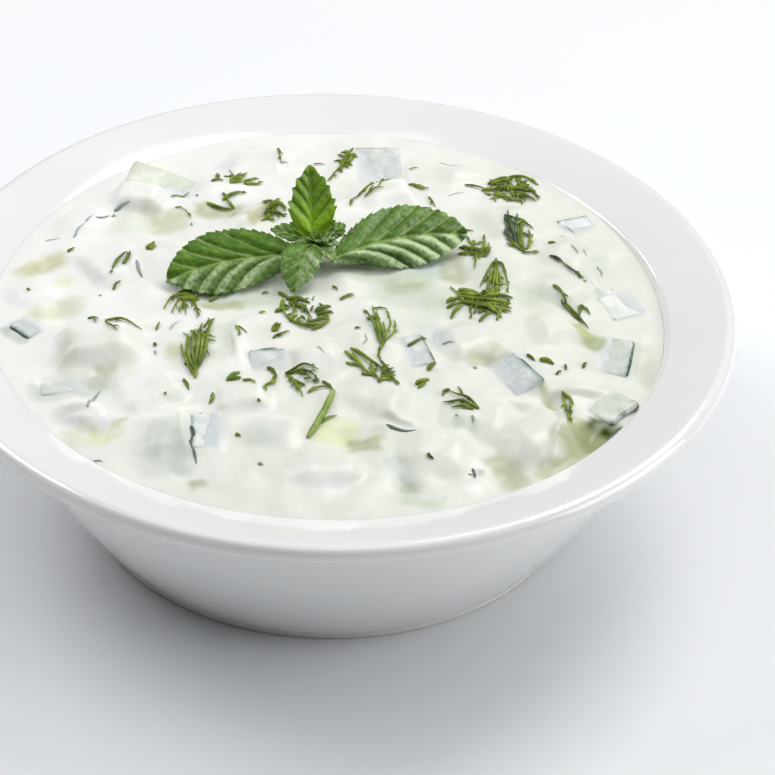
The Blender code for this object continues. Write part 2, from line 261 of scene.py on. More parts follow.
glaze, nodes, links, shader = principled("glaze", Roughness=0.09, Coat_Weight=0.5,
                                         Coat_Roughness=0.03, Specular_IOR_Level=0.5)
cloud = noise_texture(nodes, links, 35.0, 3.0)
glazed = ramp(nodes, links, cloud, ((0.3, (0.86, 0.865, 0.86)), (0.7, (0.885, 0.885, 0.88))))
place = nodes.new("ShaderNodeTexCoord")
apart = nodes.new("ShaderNodeSeparateXYZ")
links.new(place.outputs["Object"], apart.inputs["Vector"])
bare_foot = span(nodes, links, apart.outputs["Z"], GLAZE_LINE, GLAZE_LINE * 0.6, 0, 1)
links.new(blend_colours(nodes, links, bare_foot, glazed, BARE_CLAY), shader.inputs["Base Color"])
links.new(span(nodes, links, bare_foot, 0, 1, 0.09, 0.8), shader.inputs["Roughness"])
bump(nodes, links, shader, noise_texture(nodes, links, 160.0, 1.0), 0.00004, 0.5)

bm = bmesh.new()
turned = [bm.verts.new((r, 0, z)) for r, z in bowl_profile()]
for first, second in zip(turned, turned[1:]):
    bm.edges.new((first, second))
bmesh.ops.spin(bm, geom=bm.verts[:] + bm.edges[:], cent=(0, 0, 0), axis=(0, 0, 1), dvec=(0, 0, 0),
               angle=math.tau, steps=BOWL_STEPS, use_merge=True, use_duplicate=False)
bmesh.ops.remove_doubles(bm, verts=bm.verts, dist=0.000002)
bmesh.ops.recalc_face_normals(bm, faces=bm.faces)
bowl = piece("bowl_glazed", bm, glaze, smooth_below=50)
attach(bowl, "root")
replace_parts(bowl, "bowl")

# The dip.
# Thick strained yogurt stirred with diced cucumber, heaped a little above the mouth of the bowl. The
# yogurt lies in a thin skin over the pieces, so they show as soft lumps, tinted where it is thinnest;
# its colour also carries painted shade in the hollows and under the mint, and painted highlights on
# some crests.
DIP_EDGE = 43.0 * MM
DIP_DOME = 4.2 * MM
DIP_LEAN = 0.9 * MM
EDGE_DIP = 1.9 * MM
EDGE_DIP_TURN = math.radians(-12)  # the dip's edge is lowest this way from +X
EDGE_DIP_SPREAD = 0.8  # and stays low about this far round from there, in radians
DIP_CELLS = 290
DIP_OVERLAP = 0.5 * MM  # the dip's edge reaches this much into the wall of the bowl
DIP_GAP = 0.6 * MM  # below its edge the dip keeps this far from the wall
TURN_IN = 10 * MM  # below this height its side turns in over the bowl's rounded corner
DIP_RINGS = (30 * MM, 18 * MM, TURN_IN, FLOOR + 0.3 * MM)  # heights of the rings down its side

# Covered pieces: x, y, length, width, turn in degrees, rise, and how much higher one end of the top
# lies than its middle. Millimetres.
LUMPS = (
    (-46, -17, 17, 11, 6, 3.2, 0.5),
    (-40, 37, 12, 6, -8, 2.4, 0.6),
    (-52, 30, 9, 6, 40, 1.6, 0.3),
    (-44, 11, 12, 8, 20, 2.0, -0.4),
    (-60, 3, 8, 6, 30, 1.2, 0.0),
    (-34, -32, 13, 6, 25, 1.8, 0.5),
    (-48, -37, 9, 5, -20, 1.8, 0.0),
    (-31, -44.5, 9, 11, 4, 2.0, 0.4),
    (-29, -16, 8, 8, 35, 1.2, 0.0),
    (-17, -34, 9, 6, 15, 1.6, 0.3),
    (-3, -23, 9, 7, 20, 2.0, 0.3),
    (-1, -54, 13, 6, 0, 1.8, 0.0),
    (-10, -43, 7, 6, -15, 1.0, 0.0),
    (6, -13, 7, 7, 30, 1.4, 0.3),
    (9, -32, 9, 8, -25, 1.5, 0.2),
    (20, -47, 11, 8, -10, 1.8, 0.0),
    (28, -37, 10, 8, -12, 1.6, 0.3),
    (27, -13, 9, 7, 25, 1.6, -0.3),
    (40, -41, 12, 13, -50, 2.9, 0.5),
    (44, -6, 9, 7, 35, 1.6, 0.0),
    (46, 8, 9, 7, -40, 1.8, 0.3),
    (48, 21, 8, 8, -30, 1.6, 0.0),
    (36, 31, 11, 8, 15, 1.9, 0.3),
    (40, 46, 9, 6, -40, 1.4, 0.0),
    (27, 50, 10, 7, 10, 1.3, 0.0),
    (12, 38, 14, 7, 12, 2.4, 0.3),
    (-24, 41, 9, 6, 20, 1.4, 0.0),
    (-16, 52, 11, 8, 0, 1.2, 0.3),
    (33, 8, 7, 9, 5, 1.4, 0.0),
)

# Hollows between them: x, y, radius and depth in millimetres
HOLLOWS = (
    (-57, 14, 6, 1.2),
    (-53, -4, 6, 1.6),
    (-44, -43, 6, 1.2),
    (-35, 26, 8, 1.8),
    (-21, -2, 9, 1.6),
    (-28, 3, 10, 1.5),
    (-12, 0, 9, 1.0),
    (-24, 31, 6, 1.0),
    (10, 5, 9, 1.0),
    (4, -45, 6, 1.2),
    (34, -54, 6, 1.8),
    (50, -41, 7, 3.4),
    (50, -9, 3.5, 1.2),
    (15, -2, 8, 0.8),
    (62, -16, 6, 1.6),
    (58, 20, 7, 0.8),
    (25, 10, 5, 1.5),
    (43, -29, 4, 1.6),
    (27, -52.5, 1.5, 1.0),
    (35, -32.5, 4, 1.2),
    (-28.5, -48, 4.5, 1.0),
    (14, -56, 4, 1.0),
    (-26, -55, 3, 0.5),
    (18, 12, 6, 0.6),
)

# Crests where a cut edge of a piece lifts the yogurt: both ends, height, and how far the slope runs
# to the left and to the right of the line. Millimetres.
RIDGES = (
    (-20, 24, -9, 34, 2.0, 6, 1.6),
    (45, -33, 41, -51, 1.2, 7, 1.6),
    (44, -25.5, 61, -26.5, 1.4, 3.5, 1.8),
    (-18.5, -11, -17.5, -22, 1.0, 3, 1.6),
    (-55, -12.5, -36, -11.5, 1.0, 5, 1.4),
    (-57, -36, -44, -35, 0.9, 2, 3),
    (2, 36, 18, 42, 1.2, 3.5, 3),
    (-44, 40, -34, 41, 0.9, 2, 4),
    (-6, -24, 3, -22, 0.8, 2, 3),
    (50, 14, 56, 2, 1.0, 3, 1.2),
    (-33, -38, -26, -37, 0.7, 2, 2.5),
    (16, -40, 10, -37.5, 0.8, 1, 3),
    (29, -30, 38, -31, 0.7, 2, 2.5),
    (-31, 16, -40, 21, 0.8, 2, 4),
)

# Waves of the surface: height and size of the patches in millimetres, and seed
WAVES = ((0.6, 11, 3), (0.30, 5, 4), (0.06, 2.4, 9))
SWAY = 2.0  # outlines of lumps and hollows wander this far, in millimetres
SWAY_PATCH = 10
LUMP_BLEND = 2.5  # how sharply neighbouring lumps part
LUMP_SLOPE = (2.6, 0.30)  # the run of a lump's slope: millimetres, plus this share of its width
CALM_EDGE = (7, 0.12)  # the relief dies away over the outer seventh of the radius, almost to nothing
FILM_LEAN = 0.55  # the yogurt's film rises this far over a bare piece's sunk side, in millimetres
FILM_SINK = 0.14  # and lies this far below the middle of its top
FILM_RAGGED = 0.12  # and is this uneven
FILM_SOFT = 2.5  # and runs out into the dip over this width
TOP_INSET = 0.2  # it starts this far inside the edge of the piece's top

# Tints of the yogurt: over flesh, over seeds, over skin, and where it is thick. The darker ones are
# partly painted shade in hollows, on faces of lumps turned from the light and under the mint; the
# darkest is painted shadow in a deep hollow, and the thick white is also laid on crests as painted
# highlight.
OCHRE = (0.60, 0.60, 0.34)
OLIVE = (0.42, 0.46, 0.25)
SAGE = (0.57, 0.64, 0.50)
GREY = (0.55, 0.60, 0.55)
BLUE = (0.62, 0.67, 0.685)
SEED = (0.70, 0.74, 0.36)
LEAFY = (0.47, 0.53, 0.20)
TROUGH_SHADOW = (0.12, 0.15, 0.06)
PULP = (0.66, 0.67, 0.56)
THICK_AND_HIGHLIGHT = (0.912, 0.917, 0.877)
THIN = (0.78, 0.80, 0.725)

TINT_SWAY = 1.3  # outlines of tints wander this far, in millimetres
FILM_EDGE = 0.9  # the film on a bare piece is tinted until about this far past its top
FILM_CLEAR = 0.5  # and hides the piece where it is a few times this thick

# x, y, length, width, turn, softness of the edge, strength, colour. Millimetres and degrees.
TINTS = (
    (-58.4, 12.8, 11, 6, 35, 4, 0.75, OCHRE),
    (-53.8, 5.5, 4, 3.5, 0, 2, 0.35, SEED),
    (-54.5, -3.5, 11, 5, 25, 3.5, 0.50, OCHRE),
    (-38.1, 27.9, 15, 10, -5, 6, 0.35, SAGE),
    (-34.1, 28.0, 8, 7, 0, 4, 0.50, OCHRE),
    (-24.0, 31.8, 10, 5, -8, 3, 0.70, OLIVE),
    # Painted shadow under the left mint leaf, over a hollow
    (-18.1, 0.5, 18, 8, -3, 4, 0.70, SAGE),
    (-22.1, -2.2, 8, 3, -5, 2, 0.60, OLIVE),
    (-15.0, 29.1, 8, 3.5, 38, 2, 0.75, OCHRE),
    (-45.7, -22.0, 16, 11, 4, 4, 0.24, SAGE),
    (-51.0, -18.9, 4, 8, 0, 3, 0.30, OLIVE),
    (-43.9, -27.1, 3.5, 7, -15, 2, 0.55, OLIVE),
    (-48.8, -29.7, 17, 5, 4, 2.5, 0.50, GREY),
    (-44.0, -43.1, 12, 5, 12, 3, 0.36, OCHRE),
    (-41.9, -43.2, 6, 3, 12, 2, 0.30, SEED),
    (-39.9, -40.0, 4, 2, 5, 1.2, 0.50, OCHRE),
    (-30.8, -48.7, 10, 13, 0, 6, 0.50, GREY),
    (-27.9, -50.0, 3.5, 10, 8, 2.5, 0.60, GREY),
    (-23.0, -42.9, 6, 9, 0, 3, 0.60, BLUE),
    (-24.4, -58.1, 2.5, 2.5, 0, 1.5, 0.6, OLIVE),
    (-12.5, -44.7, 9, 6, 0, 4, 0.35, GREY),
    (-22.0, -16.2, 6, 12, 0, 3, 0.35, SAGE),
    (-29.9, -19.8, 3.5, 4.5, 10, 2, 0.60, OCHRE),
    (1.0, -42.9, 8, 7, 0, 3, 0.55, SEED),
    (6.5, -45.8, 6, 4, 5, 2, 0.70, OLIVE),
    (9.0, -42.8, 3, 4, 0, 2, 0.35, OLIVE),
    (13.5, -55.1, 4, 10, 18, 3, 0.65, GREY),
    (14.5, -57.1, 3, 3, 0, 1.5, 0.50, OLIVE),
    (17.5, -61.1, 8, 2.5, -8, 1.5, 0.55, SAGE),
    # Painted highlight: a white halo round a notch of skin
    (27.0, -50.7, 3, 2, 0, 1.5, 0.8, THICK_AND_HIGHLIGHT),
    (27.1, -57.0, 3.5, 3, 0, 1.5, 0.8, THICK_AND_HIGHLIGHT),
    (33.5, -51.6, 6, 10, 30, 3, 0.60, OLIVE),
    # Painted shadow in the deep hollow beside the piece at the rim, fading into olive shade
    (50.8, -37.4, 10, 7, 48, 2.5, 0.97, TROUGH_SHADOW),
    (47.0, -42.0, 11, 6, 48, 3, 0.80, OLIVE),
    (42.4, -49.3, 9, 3, 40, 2, 0.70, OLIVE),
    (46.4, -36.5, 3, 5, -20, 2, 0.60, OCHRE),
    (50.5, -7.3, 8, 3.2, -50, 1.8, 0.85, LEAFY),
    (61.7, -15.5, 5, 15, 8, 3, 0.55, PULP),
    (30.1, -17.6, 9, 4, 28, 2.5, 0.55, OLIVE),
    (41.7, -28.7, 2, 6, 25, 1.4, 0.65, OLIVE),
    (24.0, -39.2, 2.5, 2, 0, 1.2, 0.50, GREY),
    (27.4, -39.5, 1.8, 3.5, 0, 1, 0.50, SAGE),
    (18.6, 13.0, 8, 11, 3, 3, 0.85, BLUE),
    (23.9, 12.2, 5, 11, 2, 3.5, 0.62, OLIVE),
    # Painted shadow under the right mint leaf
    (9.0, 7.8, 22, 6, -6, 3, 0.70, SAGE),
    (14.1, 4.4, 8, 3, -8, 2, 0.50, OLIVE),
    (16.1, 0.5, 18, 7, -4, 4, 0.50, SAGE),
    (39.6, 3.5, 7, 6, 0, 4, 0.55, SAGE),
    (20.1, -12.4, 7, 5, -50, 2.5, 0.50, BLUE),
    (36.0, -20.9, 9, 9, -60, 3, 0.35, BLUE),
    (54.1, -12.8, 8, 10, 0, 4, 0.40, GREY),
    (49.9, 32.3, 6, 5, 20, 3, 0.50, GREY),
    (51.9, 19.2, 7, 14, 15, 5, 0.25, GREY),
    (-22.9, 51.6, 4, 5, 0, 2.5, 0.40, BLUE),
    # Painted shade on the face of a lump by the rim
    (-60.8, -10.4, 8, 5, -45, 2, 0.80, GREY),
    # Painted highlights on the crests of lumps
    (-2.0, -57.3, 12, 4, 0, 3, 0.90, THICK_AND_HIGHLIGHT),
    (-48.7, -39.3, 10, 3, 15, 2, 0.80, THICK_AND_HIGHLIGHT),
    (-56.8, -23.3, 4, 10, 10, 2.5, 0.80, THICK_AND_HIGHLIGHT),
    (-32.8, -41.0, 7, 3.5, 15, 2, 0.70, THICK_AND_HIGHLIGHT),
    (9.0, 34.9, 16, 6, 12, 3, 0.80, THICK_AND_HIGHLIGHT),
    (-18.0, -18.1, 2.5, 12, -4, 1.5, 0.70, THICK_AND_HIGHLIGHT),
    (-3.0, -25.2, 9, 4, 15, 2.5, 0.60, THICK_AND_HIGHLIGHT),
)


def smooth(share):
    """Eases a share between 0 and 1, and holds it there past either end."""
    share = np.clip(share, 0, 1)
    return share * share * (3 - 2 * share)


def in_line(x, y, cx, cy, turn):
    """Distances along and across a turned line through a point."""
    c, s = math.cos(math.radians(turn)), math.sin(math.radians(turn))
    return c * (x - cx) + s * (y - cy), c * (y - cy) - s * (x - cx)


def footprint(x, y, cx, cy, length, width, turn, soft):
    """1 inside a turned rectangle and falling softly to 0 around it; millimetres."""
    along, across = in_line(x, y, cx, cy, turn)
    past = np.hypot(np.maximum(abs(along) - length / 2, 0), np.maximum(abs(across) - width / 2, 0))
    return 1 - smooth(past / soft)


def waver(x, y, patch, seed):
    """Smooth noise between -1 and 1 at points in millimetres; patch is the size of its features."""
    return np.array([noise.noise(Vector((px / patch, py / patch, seed))) for px, py in zip(x, y)])


def dip_edge(turn):
    """Height and radius of the dip's edge at an angle in radians, in millimetres."""
    away = (turn - EDGE_DIP_TURN + math.pi) % math.tau - math.pi
    height = (DIP_EDGE - EDGE_DIP * np.exp(-(away / EDGE_DIP_SPREAD) ** 2)) / MM
    above = np.clip(height - MOUTH_ROUND[1] / MM, 0, LIP_ROUND / MM)
    radius = MOUTH_ROUND[0] / MM - np.sqrt((LIP_ROUND / MM) ** 2 - above * above)
    return height, radius + DIP_OVERLAP / MM


def dip_height(x, y):
    """Height of the dip's surface at points, all in millimetres."""
    height, radius = dip_edge(np.arctan2(y, x))
    out = np.hypot(x, y) / radius
    middle = 1 - out * out
    level = height * (1 - middle) + (DIP_EDGE + DIP_DOME) / MM * middle
    level -= DIP_LEAN / MM * x / radius * 4 * out * (1 - out)
    wx, wy = x + SWAY * waver(x, y, SWAY_PATCH, 1), y + SWAY * waver(x, y, SWAY_PATCH, 2)
    total = 1 + 0 * x
    for cx, cy, length, width, turn, rise, tip in LUMPS:
        soft = LUMP_SLOPE[0] + LUMP_SLOPE[1] * min(length, width)
        share = footprint(wx, wy, cx, cy, length * 0.5, width * 0.5, turn, soft)
        along, across = in_line(wx, wy, cx, cy, turn)
        top = rise + tip * np.clip(2 * along / length, -1, 1)
        total += np.exp(LUMP_BLEND * top * share) - 1
    lift = np.log(total) / LUMP_BLEND
    for wave, patch, seed in WAVES:
        lift += wave * waver(x, y, patch, seed)
    for x0, y0, x1, y1, crest, left, right in RIDGES:
        run = math.hypot(x1 - x0, y1 - y0)
        along, across = in_line(wx, wy, (x0 + x1) / 2, (y0 + y1) / 2,
                                math.degrees(math.atan2(y1 - y0, x1 - x0)))
        slope = np.where(across > 0, across / left, -across / right)
        lift += crest * (1 - smooth(slope)) * (1 - smooth(abs(along) / run * 2 - 0.5))
    for cx, cy, radius, depth in HOLLOWS:
        lift -= depth * (1 - smooth(np.hypot(wx - cx, wy - cy) / radius))
    surface = level + lift * smooth((1 - out) * CALM_EDGE[0] + CALM_EDGE[1])
    ragged = FILM_RAGGED * waver(x, y, 2.2, 10)
    for middle, ways, runs, normal, sunk_way in BARE_TOPS:
        inside, plane = bare_share(x, y, middle, ways, runs, normal, FILM_SOFT)
        sink = (x - middle.x) * sunk_way[0] + (y - middle.y) * sunk_way[1]
        over = np.clip(sink / (max(runs) / 2), -1, 1) * FILM_LEAN - FILM_SINK + ragged
        surface = surface * (1 - inside) + (plane + over) * inside
    return surface


def flat_sided(mesh):
    """A bmesh of a solid's whole flat sides, without the cuts that make them triangles."""
    bm = bmesh.new()
    bm.from_mesh(mesh)
    bmesh.ops.remove_doubles(bm, verts=bm.verts, dist=0.00001)
    bmesh.ops.dissolve_limit(bm, angle_limit=math.radians(1), verts=bm.verts, edges=bm.edges)
    return bm


def top_face(mesh):
    """The middle, two edge directions with their lengths, and the normal of a piece's top, in mm."""
    bm = flat_sided(mesh)
    top = max(bm.faces, key=lambda face: face.normal.z * face.calc_area())
    edges = [(loop.link_loop_next.vert.co - loop.vert.co) / MM for loop in top.loops[:2]]
    found = (top.calc_center_median() / MM, [edge.normalized() for edge in edges],
             [edge.length for edge in edges], top.normal.copy())
    bm.free()
    return found


def bare_share(x, y, middle, ways, runs, normal, soft):
    """1 over a bare piece's top, falling to 0 around it; and the height of the top's plane."""
    inside = np.ones(len(x))
    for way, run in zip(ways, runs):
        flat = way.xy.normalized()
        away = abs((x - middle.x) * flat.x + (y - middle.y) * flat.y) - run * way.xy.length / 2
        inside *= 1 - smooth((away + TOP_INSET) / soft)
    plane = middle.z - (normal.x * (x - middle.x) + normal.y * (y - middle.y)) / normal.z
    return inside, plane


# Bare pieces, which the yogurt meets at their tops: the way the side with skin faces, and the side
# that sinks in, in degrees from +X; the share of yogurt smeared over the piece; and how far its flesh
# is from watery to seedy green
BARE_SIDES = {
    "cucumber_far": (90, 200, 0.12, 0.15), "cucumber_far_left": (None, 290, 0.18, 0.7),
    "cucumber_far_right": (118, 290, 0.15, 0), "cucumber_left": (None, 20, 0.25, 0.3),
    "cucumber_left_edge": (225, 60, 0.50, 0), "cucumber_left_front": (184, 0, 0.30, 0),
    "cucumber_mid_left": (96, 300, 0.25, 0), "cucumber_middle": (16, 190, 0.45, 0),
    "cucumber_cube": (28, 175, 0.10, 0), "cucumber_right": (-12, 160, 0.12, 0.3),
    "cucumber_rim": (-40, 120, 0.20, 0.4), "cucumber_round": (None, 40, 0.70, 0),
}
BARE_TOPS = []
for name, sides in BARE_SIDES.items():
    sunk = math.radians(sides[1])
    top = top_face(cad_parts[name].data)
    BARE_TOPS.append((*top, (math.cos(sunk), math.sin(sunk))))


def points_of(made):
    """The x, y and z of a piece's vertices, in millimetres."""
    co = np.zeros(len(made.data.vertices) * 3)
    made.data.vertices.foreach_get("co", co)
    return (co / MM).reshape(-1, 3).T


yogurt, nodes, links, shader = principled("yogurt", Roughness=0.36, Subsurface_Weight=0.7,
                                          Subsurface_Scale=0.0009, Specular_IOR_Level=0.4)
shader.inputs["Subsurface Radius"].default_value = (1.0, 0.85, 0.6)
tint = nodes.new("ShaderNodeVertexColor")
tint.layer_name = "tint"
links.new(tint.outputs["Color"], shader.inputs["Base Color"])
links.new(span(nodes, links, noise_texture(nodes, links, 120.0, 1.0), 0.3, 0.7, 0.28, 0.42),
          shader.inputs["Roughness"])
bump(nodes, links, shader, noise_texture(nodes, links, 340.0, 3.0, 0.5), 0.0004, 0.36)

bm = bmesh.new()
bmesh.ops.create_grid(bm, x_segments=DIP_CELLS, y_segments=DIP_CELLS, size=1)
grid = np.array([vert.co for vert in bm.verts])
# The square grid is drawn out to a disc
u = grid[:, 0] * np.sqrt(1 - grid[:, 1] ** 2 / 2)
v = grid[:, 1] * np.sqrt(1 - grid[:, 0] ** 2 / 2)
reach = dip_edge(np.arctan2(v, u))[1]
x, y = u * reach, v * reach
for vert, co in zip(bm.verts, np.column_stack((x, y, dip_height(x, y)))):
    vert.co = co * MM
edge = [e for e in bm.edges if e.is_boundary]
for height in DIP_RINGS:
    made = bmesh.ops.extrude_edge_only(bm, edges=edge)["geom"]
    edge = [e for e in made if isinstance(e, bmesh.types.BMEdge)]
    radius = inner_radius(max(height, TURN_IN)) - DIP_GAP
    if height < TURN_IN:
        radius -= CORNER * 0.8
    for vert in (m for m in made if isinstance(m, bmesh.types.BMVert)):
        flat = Vector((vert.co.x, vert.co.y, 0)).normalized() * radius
        vert.co = (flat.x, flat.y, height)
bmesh.ops.contextual_create(bm, geom=edge)
bmesh.ops.recalc_face_normals(bm, faces=bm.faces)
dip = piece("yogurt_dip", bm, yogurt, smooth_below=60)

x, y, z = points_of(dip)
# Its colours: thinner yogurt to the right and in front, then the tints with their painted shade,
# shadow and highlights, then the film on bare pieces
mottle = waver(x, y, 1.9, 11)
wx = x + TINT_SWAY * waver(x, y, 5, 5) + 0.6 * mottle
wy = y + TINT_SWAY * waver(x, y, 5, 6) - 0.6 * mottle
thin = 0.6 + 0.0142 * x - 0.006 * y + 0.45 * waver(x, y, 11, 7) + 0.25 * waver(x, y, 4, 8)
thin = np.clip(thin, 0, 1)[:, None]
shade = np.array(THICK_AND_HIGHLIGHT) * (1 - thin) + np.array(THIN) * thin
for cx, cy, length, width, turn, soft, strength, colour in TINTS:
    share = footprint(wx, wy, cx, cy, max(length - soft, 0), max(width - soft, 0), turn, soft)
    share = (share * strength * (1 + 0.35 * mottle))[:, None]
    shade = shade * (1 - share) + np.array(colour) * share
for middle, ways, runs, normal, sunk_way in BARE_TOPS:
    inside, plane = bare_share(x, y, middle, ways, runs, normal, FILM_EDGE)
    share = (inside * np.exp(-np.maximum(z - plane, 0) / FILM_CLEAR) * 0.8)[:, None]
    shade = shade * (1 - share) + np.array(BLUE) * share
layer = dip.data.color_attributes.new("tint", "FLOAT_COLOR", "POINT")
layer.data.foreach_set("color", np.column_stack((shade, np.ones(len(x)))).ravel())
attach(dip, "root")
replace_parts(dip, "dip")

# The bare cucumber.
# Diced fresh cucumber, cut with a knife: pale watery flesh, and on an outer cut the dark green skin.
# Each piece is pressed into the dip, and its top comes through a smear of yogurt.
SKIN_DEPTH = 0.5  # millimetres
NO_SKIN = 9.0  # a depth at which no skin shows, in millimetres
RIPE_FLESH = (0.69, 0.74, 0.52)
UNDER_SKIN = (0.28, 0.35, 0.29)
SKIN = (0.060, 0.090, 0.075)
YOGURT_FILM = (0.83, 0.85, 0.80)
CUT_WOBBLE = 0.3 * MM  # a knife's cut is this uneven
CUT_PATCHES = 170  # in so many patches to a metre
CUT_SEED = 7
CUT_CELLS = 15  # a long edge is cut this many times, so that the sides can be uneven
FOOT_FILM = 0.35  # the film climbs about this far up a piece's sides, in millimetres
FILM_START = 1.1  # and starts this far in from the skin
RIM_REACH = 2.2  # the top of the piece by the rim runs out this far to the bowl, in millimetres


def stored(nodes, name):
    """The number that a piece's vertices carry under a name."""
    made = nodes.new("ShaderNodeAttribute")
    made.attribute_name = name
    return made.outputs["Fac"]


def reckon(nodes, links, operation, first, second):
    """One step of arithmetic on two outputs."""
    made = nodes.new("ShaderNodeMath")
    made.operation = operation
    links.new(first, made.inputs[0])
    links.new(second, made.inputs[1])
    return made.outputs["Value"]


def store(made, **shares):
    """Gives each vertex of a piece one number under each name, for its material to read."""
    for name, values in shares.items():
        layer = made.data.attributes.new(name, "FLOAT", "POINT")
        layer.data.foreach_set("value", values)


flesh, nodes, links, shader = principled("cucumber_flesh", Subsurface_Weight=0.3,
                                         Subsurface_Scale=0.0009, Specular_IOR_Level=0.35)
shader.inputs["Subsurface Radius"].default_value = (0.8, 1.0, 0.9)
fibre = noise_texture(nodes, links, 420.0, 4.0, 0.6)
watery = ramp(nodes, links, fibre, ((0.30, (0.49, 0.545, 0.55)), (0.55, (0.62, 0.665, 0.675)),
                                    (0.75, (0.73, 0.77, 0.77))))
watery = blend_colours(nodes, links, stored(nodes, "ripe"), watery, RIPE_FLESH)
# From the outside in: skin, a darker band and flesh, with frayed lines between them
fray = span(nodes, links, noise_texture(nodes, links, 700.0, 2.0), 0.3, 0.7, -0.14, 0.14)
depth = reckon(nodes, links, "ADD", stored(nodes, "depth"), fray)
under_skin = span(nodes, links, depth, SKIN_DEPTH, 2.4 * SKIN_DEPTH, 0, 1)
inner = blend_colours(nodes, links, under_skin, UNDER_SKIN, watery)
past_skin = span(nodes, links, depth, 0.7 * SKIN_DEPTH, 1.1 * SKIN_DEPTH, 0, 1)
cut = blend_colours(nodes, links, past_skin, SKIN, inner)
# The smear of yogurt over all of it, uneven and with dabs
film = stored(nodes, "film")
links.new(span(nodes, links, film, 0, 0.6, 0.2, 0.45), shader.inputs["Roughness"])
uneven = span(nodes, links, noise_texture(nodes, links, 300.0, 3.0), 0.35, 0.65, 0.6, 1.3)
smear = reckon(nodes, links, "MULTIPLY", film, uneven)
spots = span(nodes, links, noise_texture(nodes, links, 230.0, 2.0), 0.53, 0.62, 0, 0.55)
dabs = reckon(nodes, links, "ADD", smear, spots)
links.new(blend_colours(nodes, links, dabs, cut, YOGURT_FILM), shader.inputs["Base Color"])
bump(nodes, links, shader, fibre, 0.0002, 0.35)

noise.seed_set(CUT_SEED)  # without a seed, the clock would give each run another unevenness
for (name, (side, sunk, cover, ripe)), top in zip(BARE_SIDES.items(), BARE_TOPS):
    bm = flat_sided(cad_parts[name].data)
    bmesh.ops.subdivide_edges(bm, edges=[e for e in bm.edges if e.calc_length() > 2.5 * MM],
                              cuts=CUT_CELLS, use_grid_fill=True)
    for vert in bm.verts:
        vert.co += Vector(noise.noise_vector(vert.co * CUT_PATCHES)) * CUT_WOBBLE
    bmesh.ops.recalc_face_normals(bm, faces=bm.faces)
    made = piece(name + "_cut", bm, flesh, smooth_below=50)
    x, y, z = points_of(made)
    deep = np.full(len(x), NO_SKIN)
    if side is not None:
        facing = Vector((math.cos(math.radians(side)), math.sin(math.radians(side)), 0))
        outward = max((way * sign for way in top[1] for sign in (1, -1)), key=facing.dot)
        out = x * outward.x + y * outward.y + z * outward.z
        deep = out.max() - out
        if name == "cucumber_rim":
            shift = RIM_REACH * smooth(1 - deep / 4) * smooth((z - z.max() + 3) / 2)
            x, y = x + outward.x * shift, y + outward.y * shift
            made.data.vertices.foreach_set("co", np.column_stack((x, y, z)).ravel() * MM)
    proud = np.maximum(z - dip_height(x, y), 0)
    middle, normal = top[0], top[3]
    below = (middle.x - x) * normal.x + (middle.y - y) * normal.y + (middle.z - z) * normal.z
    foot = 0.9 * np.exp(-proud / FOOT_FILM) * smooth((below - 0.1) / 0.6)
    smeared = (cover + (1 - cover) * foot) * (1 - np.exp(-(deep / FILM_START) ** 2))
    store(made, depth=deep, film=smeared, ripe=np.full(len(x), ripe))
    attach(made, "root")
    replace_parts(made, name)

# The mint.
# The top of one fresh sprig: two long leaves, one upright, one drooping, two small ones and the bud's,
# on a square stem. The blades are toothed, puckered between their veins, and silvery with fine hairs;
# the silvery hairs are painted brighter as a highlight on the part of each swelling that faces the
# light, and the dent past each vein is painted darker as shade.
LEAF_THICKNESS = 0.32 * MM
LEAF_STATIONS = 160
LEAF_LANES = 28
LEAF_SLANT = 2.2  # how far the side veins lean towards the tip
VEIN_CROWDING = 0.85  # below 1 they stand closer together near the base
VEIN_WIDTH = 0.22  # millimetres
FURROW_WIDTH = 0.35  # of the dent that a vein lies in
NARROWEST = 0.35  # half a blade's width at its ends
STEM_PLACE = (-3.6, 11.6)  # millimetres
STEM_TOP = 51.0
STEM_SINK = 0.4  # the stem's foot is this deep in the yogurt
STEM_RADII = (0.85, 0.7)  # at the foot and at the top
STEM_SQUARE = 0.10  # how far its four corners stand out, as a share of its radius

leaf_green, nodes, links, shader = principled("mint_leaf", Roughness=0.40, Subsurface_Scale=0.0012,
                                              Specular_IOR_Level=0.20)
shader.inputs["Subsurface Radius"].default_value = (0.6, 1.0, 0.15)
patches = ramp(nodes, links, noise_texture(nodes, links, 260.0, 3.0, 0.65),
               ((0.30, (0.042, 0.112, 0.003)), (0.50, (0.078, 0.182, 0.007)),
                (0.72, (0.145, 0.275, 0.018))))
for name, colour in (("young", (0.52, 0.75, 0.025)), ("silver", (0.55, 0.69, 0.40)),
                     ("vein", (0.40, 0.54, 0.19)), ("dark", (0.022, 0.052, 0.004))):
    share = stored(nodes, name)
    patches = blend_colours(nodes, links, share, patches, colour)
    if name == "young":
        links.new(span(nodes, links, share, 0, 1, 0.12, 0.8), shader.inputs["Subsurface Weight"])
links.new(patches, shader.inputs["Base Color"])
place = nodes.new("ShaderNodeTexCoord")
cells = nodes.new("ShaderNodeTexVoronoi")
cells.feature = "SMOOTH_F1"
cells.inputs["Scale"].default_value = 1100.0
links.new(place.outputs["Object"], cells.inputs["Vector"])
bump(nodes, links, shader, cells.outputs["Distance"], -0.00035, 0.8)


def leaf_frame(heading, pitch, bank):
    """Along, left and up directions of a leaf where it runs at these angles, in degrees."""
    h, p, b = (math.radians(angle) for angle in (heading, pitch, bank))
    along = Vector((math.cos(h) * math.cos(p), math.sin(h) * math.cos(p), math.sin(p)))
    left = Matrix.Rotation(b, 3, along) @ Vector((-math.sin(h), math.cos(h), 0))
    return along, left, along.cross(left)


